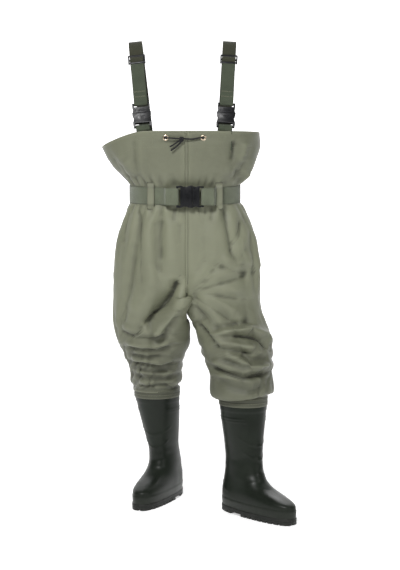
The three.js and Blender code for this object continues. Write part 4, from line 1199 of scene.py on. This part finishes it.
def ribs(name, body, matrix, rows):
    """Low raised bars on a moulding: centre x, y and z, then half length across, half width along."""
    parts = []
    for x, y, z, length, half, turn in rows:
        ring = []
        for k in range(16):
            a = math.tau * k / 16
            ring.append((power(math.cos(a), 0.5) * length, power(math.sin(a), 0.8) * half))
        ring = np.array(ring)
        c, s = math.cos(turn), math.sin(turn)
        layers = []
        for height, scale in ((-0.0004, 1.0), (0.0004, 1.0), (0.0008, 0.8)):
            u, v = (ring * scale).T
            layers.append(np.stack([x + u * c - v * s, y + u * s + v * c, np.full(16, z + height)], 1))
        vertices, faces = rings_mesh(layers, True, True)
        parts.append((placed(matrix, vertices), faces))
    made = merged(parts)
    obj = mesh_object(name, *made[:2], "plastic")
    return keep(obj, body)


def add_buckle(prefix, matrix, half, length, thickness, socket, plug, prongs, bodies):
    """Socket, plug and two prongs: the socket narrows where the prongs' ears show, and the plug tapers."""
    window = -length / 2 + 0.026

    def socket_warp(p):
        waist = math.exp(-(((p.y - window) / 0.0085) ** 2))
        end = float(smoothstep(-p.y, length / 2 - 0.012, length / 2))
        scale = 1 - 0.17 * waist - 0.05 * end
        crown = 0.06 * (1 - (p.x / (half + 0.0075)) ** 2)
        return Vector((p.x * scale, p.y, p.z * (1 + crown)))

    def plug_warp(p):
        end = float(smoothstep(p.y, length / 2 - 0.006, length / 2))
        neck = math.exp(-(((p.y - 0.0165) / 0.006) ** 2))
        return Vector((p.x * (1 - 0.03 * end - 0.07 * neck), p.y, p.z))

    def prong_warp(p):
        grip = 0.0005 * math.sin(p.y * math.tau / 0.0026)
        grip *= float(smoothstep(abs(p.x), half - 0.004, half - 0.001))
        ear = 0.0022 * math.exp(-(((p.y - window) / 0.006) ** 2))
        ear *= float(smoothstep(abs(p.x), half - 0.006, half - 0.001))
        return Vector((p.x + math.copysign(ear + grip, p.x), p.y, p.z * 1.03))

    fine = np.arange(window - 0.016, window + 0.017, 0.002)
    moulded(socket, bodies[0], matrix, fine, socket_warp)
    moulded(plug, bodies[1], matrix, np.arange(0.009, 0.026, 0.002), plug_warp)
    for node in prongs:
        moulded(node, node, matrix, np.arange(window - 0.009, window + 0.010, 0.00065), prong_warp, 0.0004)
    face = thickness / 2
    grips = enumerate((-0.004, -0.0075, -0.011))
    rows = [(0, y, face * 1.04, half * 0.42 - k * 0.0018, 0.0008, 0) for k, y in grips]
    rows += [(0, 0.0055, face * 1.04, half * 0.85, 0.0009, 0)]
    ribs(f"{prefix}_socket_ribs", bodies[0], matrix, rows)
    base = thickness * 0.4
    rows = [(0, y, base, half * 0.5, 0.0007, 0) for y in (0.0125, 0.0155, 0.0185)]
    rows += [(sign * half * 0.78, 0.0155, base, 0.0045, 0.0007, math.pi / 2) for sign in (-1, 1)]
    ribs(f"{prefix}_plug_ribs", bodies[1], matrix, rows)


add_buckle(
    "belt_buckle", BELT_FRAME, 0.026, 0.080, 0.013, "belt_buckle_socket", "belt_buckle_plug",
    ("belt_prong_upper", "belt_prong_lower"), ("root", "belt_plug"),
)


# ---- Braces ----
STRAP_WIDTH = 0.040
STRAP_THICKNESS = 0.0019
FRONT_LEAN = math.radians(21.8)
BACK_LEAN = math.radians(18)
BRACES = {"right": -1, "left": 1}
TAB = 0.013  # visible webbing between the hem and the buckle
BRACE_HALF = 0.0375  # half a brace buckle's length
SLIDE = 0.2295  # hem to the middle of the slider, along the strap
STRAIGHT = 0.238  # height of the straight stretch of strap above the hem
SHOULDER = 0.048  # handle length of the curve over the shoulder


def add_brace(name, sign):
    body = f"brace_{name}"
    outer, inner = (f"brace_prong_{k}_{name}_press" for k in ("outer", "inner"))
    along = Vector(JOINTS[f"brace_{name}_release"]["axis"])
    across = Vector(JOINTS[outer]["pos_m"]) - Vector(JOINTS[inner]["pos_m"])
    across = across * sign
    centre = middle(outer, inner) - along * PRONG_PIVOT
    buckle = frame_matrix(centre, across, along)
    if buckle.to_3x3().col[2].y > 0:
        raise SystemExit("a brace's buckle faces the wrong way")
    front = buckle.copy()
    front.translation = centre - along * (TAB + BRACE_HALF)
    root = front.translation
    add_buckle(
        f"brace_{name}_buckle", buckle, 0.021, 0.075, 0.012, f"brace_socket_{name}", f"brace_plug_{name}",
        (f"brace_prong_outer_{name}", f"brace_prong_inner_{name}"), (body, f"brace_{name}_plug"),
    )
    wide = np.array(front.to_3x3().col[0])

    def wrap(bar, flip):
        """Round a bar whose outer face is at bar; flip is 1 where the webbing comes from below."""
        return [(0, bar + flip * a, out) for a, out in WRAP_TURN]

    # The tab: sewn inside the bib, up over the hem and round the socket's bar.
    inside = [(root.x, root.y + 0.002 + drop * 0.16, HEM - drop) for drop in (0.055, 0.04, 0.02, 0.006)]
    loop = placed(front, wrap(TAB, 1))
    path = curve_through(np.vstack([
        inside, placed(front, [(0, 0.004, -0.0006)]), loop[2:11], placed(front, [(0, TAB - 0.011, 0.0014)]),
    ]), 90)
    axes = np.repeat(wide[None], len(path), 0)
    low = smoothstep(HEM + 0.004 - path[:, 2], 0, 0.02)[:, None]
    axes = axes * (1 - low) + np.array((1.0, 0, 0)) * low
    obj = strip(f"tab_{name}", path, axes, STRAP_WIDTH, STRAP_THICKNESS, "webbing")
    ends = ((root.x, root.y, HEM - 0.010), (root.x, root.y, HEM + 0.008))
    keep(obj, ("root", body), [f"brace_tab_{name}", f"brace_anchor_front_{name}"], ends)

    # Two layers from the plug's bar up to the slider.
    bar = TAB + 2 * BRACE_HALF
    slide = SLIDE
    rounding = wrap(bar, -1)
    behind = [(0, slide - 0.006, -0.0022), (0, slide - 0.03, -0.0014), (0, bar + 0.05, -0.0011)]
    over = [(0, bar + 0.05, 0.0013), (0, slide - 0.032, 0.0016), (0, slide - 0.0135, 0.0009)]
    path = curve_through(placed(front, behind + rounding + over), 170)
    obj = strip(f"strap_front_{name}", path, wide, STRAP_WIDTH - 0.001, STRAP_THICKNESS - 0.0004, "webbing")
    ends = tuple(tuple(placed(front, [(0, y, 0)])[0]) for y in (0.190, bar + 0.012))
    keep(obj, (body, f"{body}_plug"), [f"brace_strap_front_{name}"], ends)

    # The slider and the webbing that passes over its middle bar.
    matrix = front.copy()
    matrix.translation = Vector(placed(front, [(0, slide, 0)])[0])

    def slider_warp(p):
        bow = 1 + 0.10 * (1 - (p.x / 0.0255) ** 2)
        return Vector((p.x, p.y * (1 - 0.04 * (p.x / 0.0255) ** 2), p.z * bow))

    obj = moulded(f"brace_slider_{name}", f"{body}_slider", matrix, (), slider_warp, 0.0009)
    hop = [(0, slide - 0.016, 0.0006), (0, slide - 0.009, 0.0012), (0, slide - 0.0035, 0.0052),
           (0, slide + 0.0035, 0.0052), (0, slide + 0.009, 0.0012), (0, slide + 0.016, 0.0006)]
    path = curve_through(placed(front, hop), 40)
    obj = strip(f"slider_webbing_{name}", path, wide, STRAP_WIDTH - 0.0015, 0.0016, "strap")
    keep(obj, f"{body}_slider")

    # The long strap over the shoulder to the elastic at the back.
    upward = np.array(along)
    start = np.array(placed(front, [(0, 0.196, 0)])[0])
    front_top = np.array(root) + upward * (STRAIGHT / math.cos(FRONT_LEAN))
    up = unit(np.cross(wide, (0, -1.0, 0)))
    if up[2] < 0:
        up = -up
    elastic_y = float(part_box(f"brace_elastic_{name}")[1][1] - ORIGIN.y) - 0.0012
    back_dir = up * math.cos(BACK_LEAN) - np.array((0, 1.0, 0)) * math.sin(BACK_LEAN)
    back_root = np.array((root.x, elastic_y, HEM))
    back_top = back_root + back_dir * ((STRAIGHT - 0.006) / math.cos(BACK_LEAN))
    a, b, c, d = front_top, front_top + upward * SHOULDER, back_top + back_dir * SHOULDER, back_top
    bezier = []
    for t in np.linspace(0, 1, 24):
        bezier.append(a * (1 - t) ** 3 + 3 * b * t * (1 - t) ** 2 + 3 * c * t * t * (1 - t) + d * t**3)
    tail = back_root + back_dir * (0.0603 / math.cos(BACK_LEAN))
    thirds = [(back_top * 2 + tail) / 3, (back_top + 2 * tail) / 3]
    points = np.vstack([start, (start + front_top) / 2, bezier, thirds, tail - back_dir * 0.012])
    path = curve_through(points, 220)
    obj = strip(f"strap_{name}", path, wide, STRAP_WIDTH, STRAP_THICKNESS, "strap")
    keep(obj, body, [f"brace_strap_{name}"])

    # The elastic: sewn inside the back of the bib, with a stitched overlap at the strap.
    inside = [(root.x, back_root[1] - 0.002 - drop * 0.14, HEM - drop) for drop in (0.055, 0.03, 0.008)]
    lifts = ((0.012, 0.2), (0.035, 0.6), (0.055, 1), (0.064, 1))
    outside = [back_root + back_dir * d + np.array((0, 0.0019, 0)) * lift for d, lift in lifts]
    path = curve_through(np.vstack([inside, outside]), 60)
    axes = np.repeat(-wide[None], len(path), 0)
    obj = strip(f"elastic_{name}", path, axes, STRAP_WIDTH, 0.0023, "elastic")
    ends = ((root.x, back_root[1], HEM - 0.010), (root.x, back_root[1], HEM + 0.008))
    keep(obj, ("root", body), [f"brace_elastic_{name}", f"brace_anchor_back_{name}"], ends)

    # Bar tacks where each layer is sewn to the next.
    lines, facing = [], []
    out = np.array(front.to_3x3().col[2])
    for y in (bar + 0.020, bar + 0.0222, bar + 0.036, bar + 0.0382):
        lines.append(placed(front, [(x, y, 0.0030) for x in np.linspace(-0.017, 0.017, 9)]))
        facing.append(np.repeat(out[None], 9, 0))
    made = dashes(lines, facing, 0.0022, 0.0005, 0.0008, 0.0005)
    ends = tuple(tuple(placed(front, [(0, y, 0)])[0]) for y in (0.190, bar + 0.012))
    keep(mesh_object(f"plug_tacks_{name}", *made[:2], "thread"), (body, f"{body}_plug"), (), ends)


for brace_name, brace_sign in BRACES.items():
    add_brace(brace_name, brace_sign)


# ---- Boots ----
def boot_relief(angle, z):
    """How far the moulded shape stands out of, or sinks into, the plain boot."""
    c, s = np.cos(angle), np.sin(angle)
    ahead = smoothstep(c, 0.1, 0.8)
    out = np.zeros(np.broadcast(angle, z).shape)
    # Creases across the instep and round the ankle, where the boot bends.
    for height, slope, half, depth in (
        (0.128, 0.012, 0.007, 0.0005), (0.152, -0.006, 0.007, 0.0004),
        (0.180, 0.014, 0.008, 0.0003),
    ):
        away = (z - height - slope * s - 0.004 * np.sin(3 * angle + height * 90)) / half
        reach = ahead if height < 0.13 else 0.35 + 0.65 * np.clip(c, 0, 1)
        out = out + depth * reach * (-np.exp(-away**2) + 0.6 * np.exp(-((np.abs(away) - 1.8) ** 2)))
    # Moulded ridges: the toe cap, the shin's curved pair, the counter round the heel and the top band.
    toe = np.exp(-(((z - 0.060 - 0.020 * (1 - np.abs(s))) / 0.0022) ** 2)) * smoothstep(c, 0.45, 0.7)
    counter = np.exp(-(((z - 0.095 + 0.030 * s * s) / 0.0024) ** 2)) * smoothstep(-c, 0.0, 0.5)
    shin = np.exp(-(((z - 0.205 - 0.045 * (1 - c)) / 0.0022) ** 2)) * smoothstep(c, 0.35, 0.6)
    shin = shin + np.exp(-(((z - 0.165 - 0.055 * (1 - c)) / 0.0022) ** 2)) * smoothstep(c, 0.45, 0.7)
    ribs_out = np.exp(-(((z - 0.283) / 0.0017) ** 2)) + np.exp(-(((z - 0.276) / 0.0017) ** 2))
    side = smoothstep(np.abs(s), 0.55, 0.75)
    out = out + 0.0008 * toe + 0.0011 * counter + 0.0014 * shin + 0.0014 * ribs_out * side
    band_low = smoothstep(z, BOOT_TOP - 0.020, BOOT_TOP - 0.018)
    out = out + 0.0012 * band_low
    # The foxing just above the sole, and a little slackness in the shaft.
    foxing = 1 - smoothstep(z, 0.040, 0.043)
    out = out + 0.0016 * foxing
    slack = 0.0009 * np.sin(2 * angle + 14 * z) * hump(z, 0.22, 0.10)
    return out + slack


def add_boots():
    angles = np.linspace(0, math.tau, 113)[:-1]
    for name in SIDES:
        heights = np.concatenate([np.linspace(SOLE - 0.0015, 0.06, 16)[:-1], np.linspace(0.06, BOOT_TOP, 96)])
        reliefs = [boot_relief(angles, np.full(len(angles), z)) for z in heights]
        rings = [boot_point(name, angles, z, relief) for z, relief in zip(heights, reliefs)]
        lip = boot_point(name, angles, BOOT_TOP + 0.0008, -0.0016)
        rings += [lip, boot_point(name, angles, BOOT_TOP - 0.0008, -0.0042)]
        inside = (0.30, 0.24, 0.20, 0.16, 0.13, 0.10, 0.08, 0.06, 0.04, 0.026)
        rings += [boot_point(name, angles, z, -0.0042) for z in inside]
        vertices, faces = rings_mesh(rings, False, True)
        count = len(angles)
        base = len(vertices)
        vertices = np.vstack([vertices, rings[0].mean(0)])
        faces += [((k + 1) % count, k, base) for k in range(count)]
        obj = mesh_object(f"boot_{name}", vertices, faces, "boot")
        keep(obj, f"shin_{name}", [f"boot_upper_{name}"])
        # The kick lug on the heel.
        ring = []
        for reach, half, low, high in (
            (0.070, 0.014, 0.034, 0.048), (0.0785, 0.0135, 0.0345, 0.0475),
            (0.0815, 0.0125, 0.0355, 0.0465), (0.082, 0.010, 0.0375, 0.0445),
        ):
            turn = np.linspace(0, math.tau, 25)[:-1]
            across = half * power(np.cos(turn), 0.35)
            height = (low + high) / 2 + (high - low) / 2 * power(np.sin(turn), 0.45)
            ring.append(foot_plan(name, SIDES[name]["ankle"], np.full(24, -reach), across, height))
        vertices, faces = rings_mesh(ring, True, True)
        keep(mesh_object(f"kick_lug_{name}", vertices, faces, "boot"), f"shin_{name}")

        # The sole: a rounded slab with a ribbed edge, over separate cleats.
        rings = flat_rings(name, angles, 0.02, (
            (0.0062, -0.002), (0.0062, 0.001), (0.0072, 0.0028),
            (0.0105, 0.0034), (0.011, 0.0024), (0.012, 0.0024),
            (0.0125, 0.0034), (0.0160, 0.0036), (0.0185, 0.0028),
            (0.0198, 0.0012), (0.0200, -0.002),
        ))
        slab = rings_mesh(rings, True, True)
        parts = [slab]
        cuts = [(-0.0745, -0.058), (-0.052, -0.0385), (-0.0365, -0.022), (-0.016, -0.006)]
        cuts += [(0.042, 0.062), *((at + 0.006, at + 0.020) for at in np.arange(0.062, 0.170, 0.020))]
        cuts.append((0.188, 0.2115))
        for first, last in cuts:
            for sign in (-1, 1):
                rows = []
                for forward in np.linspace(first, last, 5):
                    half = sole_half(name, forward, sign)
                    if half > 0.006:
                        rows.append((forward, half))
                if len(rows) < 2:
                    continue
                layers = []
                for z, shrink in ((0.0066, 0.0), (0.0012, 0.0), (0.0, 0.0009)):
                    edge = [(f, sign * (h - shrink)) for f, h in rows]
                    edge += [(f, sign * (0.0022 + shrink)) for f, _ in rows[::-1]]
                    edge = np.array(edge)
                    middle_f = (rows[0][0] + rows[-1][0]) / 2
                    edge[:, 0] = middle_f + (edge[:, 0] - middle_f) * (1 - shrink * 100)
                    layers.append(foot_plan(name, SIDES[name]["ankle"], *edge.T, np.full(len(edge), z)))
                vertices, faces = rings_mesh(layers[::-1], True, True)
                parts.append((vertices, faces))
        vertices, faces, _ = merged(parts)
        obj = mesh_object(f"sole_{name}", vertices, faces, "sole")
        repair(obj)
        obj.data.set_sharp_from_angle(angle=math.radians(40))
        keep(obj, f"shin_{name}", [f"outsole_{name}"])

        # The felt insole.
        rings = flat_rings(name, angles, 0.02, (
            (0.0250, -0.0075), (0.0250, -0.0068), (0.0268, -0.0062), (0.0284, -0.0068), (0.0288, -0.0085),
        ))
        obj = mesh_object(f"felt_insole_{name}", *rings_mesh(rings, True, True), "insole")
        keep(obj, f"shin_{name}", [f"insole_{name}"])


def sole_half(name, forward, sign):
    """Half the sole's width at a distance ahead of the ankle."""
    toe, heel, half = (float(eased(0.02, BOOT, k, 0.008)) for k in (1, 2, 3))
    reach = (toe if forward > 0 else heel) + 0.003
    c = (min(1.0, abs(forward) / reach)) ** (1 / 0.8)
    s = math.sqrt(max(0.0, 1 - c * c))
    narrow = 1 - 0.16 * float(smoothstep(-forward, -0.040, HEEL))
    inner = 0.93 if sign * SIDES[name]["sign"] < 0 else 1.03
    return (half + 0.003) * narrow * s**0.8 * inner


def repair(obj):
    made = bmesh.new()
    made.from_mesh(obj.data)
    bmesh.ops.recalc_face_normals(made, faces=made.faces)
    made.to_mesh(obj.data)
    made.free()


add_boots()


# ---- Cuffs: the welded bands that join the legs to the boots ----
def add_cuffs():
    angles = np.linspace(0, math.tau, 97)[:-1]
    for name in SIDES:
        profile = [(BOOT_TOP - 0.0035, 0.0006), (BOOT_TOP - 0.0040, 0.0022), (BOOT_TOP - 0.0020, 0.0030)]
        profile += [(BOOT_TOP + z, 0.0030) for z in (0.002, 0.0045, 0.007, 0.0095)]
        profile += [(BOOT_TOP + 0.0105, 0.0022), (BOOT_TOP + 0.0120, 0.0030), (BOOT_TOP + 0.017, 0.0031)]
        profile += [(BOOT_TOP + 0.022, 0.0030), (BOOT_TOP + 0.0242, 0.0020)]
        profile += [(BOOT_TOP + 0.0245, 0.0005), (BOOT_TOP + 0.018, -0.0002)]
        rings = []
        for z, out in profile:
            ripple = 0.0007 * np.sin(9 * angles + 40 * z)
            ripple *= float(smoothstep(z, BOOT_TOP + 0.010, BOOT_TOP + 0.024))
            spread = boot_point(name, angles, BOOT_TOP, out + ripple)
            spread[:, 2] = z
            rings.append(spread)
        obj = mesh_object(f"cuff_{name}", *rings_mesh(rings), "cuff")
        keep(obj, f"shin_{name}", [f"cuff_band_{name}"])
        lines, facing = [], []
        turn = np.linspace(0, math.tau, 181)
        for z in (BOOT_TOP + 0.0065, BOOT_TOP + 0.0190):
            line = boot_point(name, turn, BOOT_TOP, 0.0031)
            centre = line[:-1].mean(0)
            normal = unit((line - centre) * (1, 1, 0))
            line[:, 2] = z
            lines.append(line)
            facing.append(normal)
        made = dashes(lines, facing)
        keep(mesh_object(f"cuff_stitching_{name}", *made[:2], "thread"), f"shin_{name}")


add_cuffs()


# ---- Eyelets and drawcord ----
CORD_DIAMETER = 0.0044
EYELET_DROP = 0.019
KNOT = (-0.014, 0.022)  # across, and below the hem


def bib_front(x, forward, z):
    return torso_point(angle_at(x, z), z) * (0, 1, 0) + (x, -forward, z)


def add_eyelets():
    profile = [
        (0.0040, -0.0022), (0.0040, 0.0002), (0.0044, 0.0011), (0.0052, 0.0016), (0.0062, 0.0017),
        (0.0073, 0.0013), (0.0081, 0.0008), (0.0085, 0.0002), (0.0086, -0.0006), (0.0080, -0.0012),
    ]
    for name, x in (("right", -0.060), ("left", 0.049)):
        place = bib_front(x, 0.0004, HEM - EYELET_DROP)
        normal = Vector((0.08 * (1 if x > 0 else -1), -1, 0)).normalized()
        side = Vector((0, 0, 1)).cross(normal).normalized()
        up = normal.cross(side)
        turn = np.linspace(0, math.tau, 49)[:-1]
        rings = []
        for radius, height in profile:
            ring = np.outer(np.cos(turn) * radius, side) + np.outer(np.sin(turn) * radius, up)
            rings.append(place + ring + np.array(normal) * height)
        vertices, faces = rings_mesh(rings)
        obj = mesh_object(f"brass_eyelet_{name}", vertices, faces, "brass")
        repair(obj)
        keep(obj, "root", [f"eyelet_{name}"])
        # A black disc closes each eyelet's bore: painted shade down in the hole.
        hole = rings[0] + np.array(normal) * 0.0012
        disc = rings_mesh([hole, place + (hole - place) * 0.05], False, True)
        floor = mesh_object(f"eyelet_hole_{name}", *disc, "dark")
        keep(floor, "root")


def cord_curve(name, points, paint="cord"):
    data = bpy.data.curves.new(name, "CURVE")
    data.dimensions = "3D"
    data.bevel_depth = CORD_DIAMETER / 2
    data.bevel_resolution = 4
    data.use_fill_caps = True
    run = curve_through(points, 60)
    spline = data.splines.new("POLY")
    spline.points.add(len(run) - 1)
    for point, place in zip(spline.points, run):
        point.co = (*(Vector(place) + ORIGIN), 1)
    data.materials.append(PAINTS[paint])
    obj = bpy.data.objects.new(name, data)
    bpy.context.scene.collection.objects.link(obj)
    length = float(np.linalg.norm(np.diff(run, axis=0), axis=1).sum())
    return obj, length, tuple(Vector(run[0]) + ORIGIN)


def add_drawcord():
    z = HEM - KNOT[1]
    eye = HEM - EYELET_DROP
    x = KNOT[0]
    runs = {
        "right": [
            (-0.060, 0.0020, eye), (-0.0575, 0.0062, eye), (-0.046, 0.0066, eye - 0.001),
            (x - 0.022, 0.0066, z + 0.001), (x - 0.0085, 0.0080, z), (x + 0.0005, 0.0100, z - 0.0008),
            (x + 0.0030, 0.0100, z - 0.0045), (x - 0.002, 0.0088, z - 0.009),
            (x - 0.009, 0.0064, z - 0.017), (x - 0.020, 0.0056, z - 0.027), (x - 0.031, 0.0056, z - 0.034),
        ],
        "left": [
            (0.049, 0.0020, eye), (0.0465, 0.0062, eye), (0.035, 0.0066, eye - 0.001),
            (x + 0.030, 0.0062, z - 0.001),
            (x + 0.0085, 0.0080, z), (x + 0.001, 0.0068, z + 0.001), (x - 0.0065, 0.0078, z - 0.0055),
            (x - 0.014, 0.0064, z - 0.011), (x - 0.024, 0.0056, z - 0.018), (x - 0.034, 0.0056, z - 0.023),
        ],
    }
    # The knot: a tight pair of turns round the crossing, tilted with the cord.
    turns = []
    for t in np.linspace(0, math.tau * 2, 49):
        across = x + 0.0052 * math.cos(t * 1.5) * 0.8
        turns.append((across, 0.0090 + 0.0026 * math.cos(t), z - 0.0015 + 0.0050 * math.sin(t)))
    knot, _, _ = cord_curve("cord_knot", [bib_front(*point) for point in turns])
    keep(knot, "root", ["drawcord_knot"])
    for name, tail in (("right", "lower"), ("left", "upper")):
        points = [bib_front(*point) for point in runs[name]]
        obj, length, start = cord_curve(f"cord_{name}", points)
        keep(obj, "root", [f"drawcord_{name}", f"drawcord_tail_{tail}"])


add_eyelets()
add_drawcord()
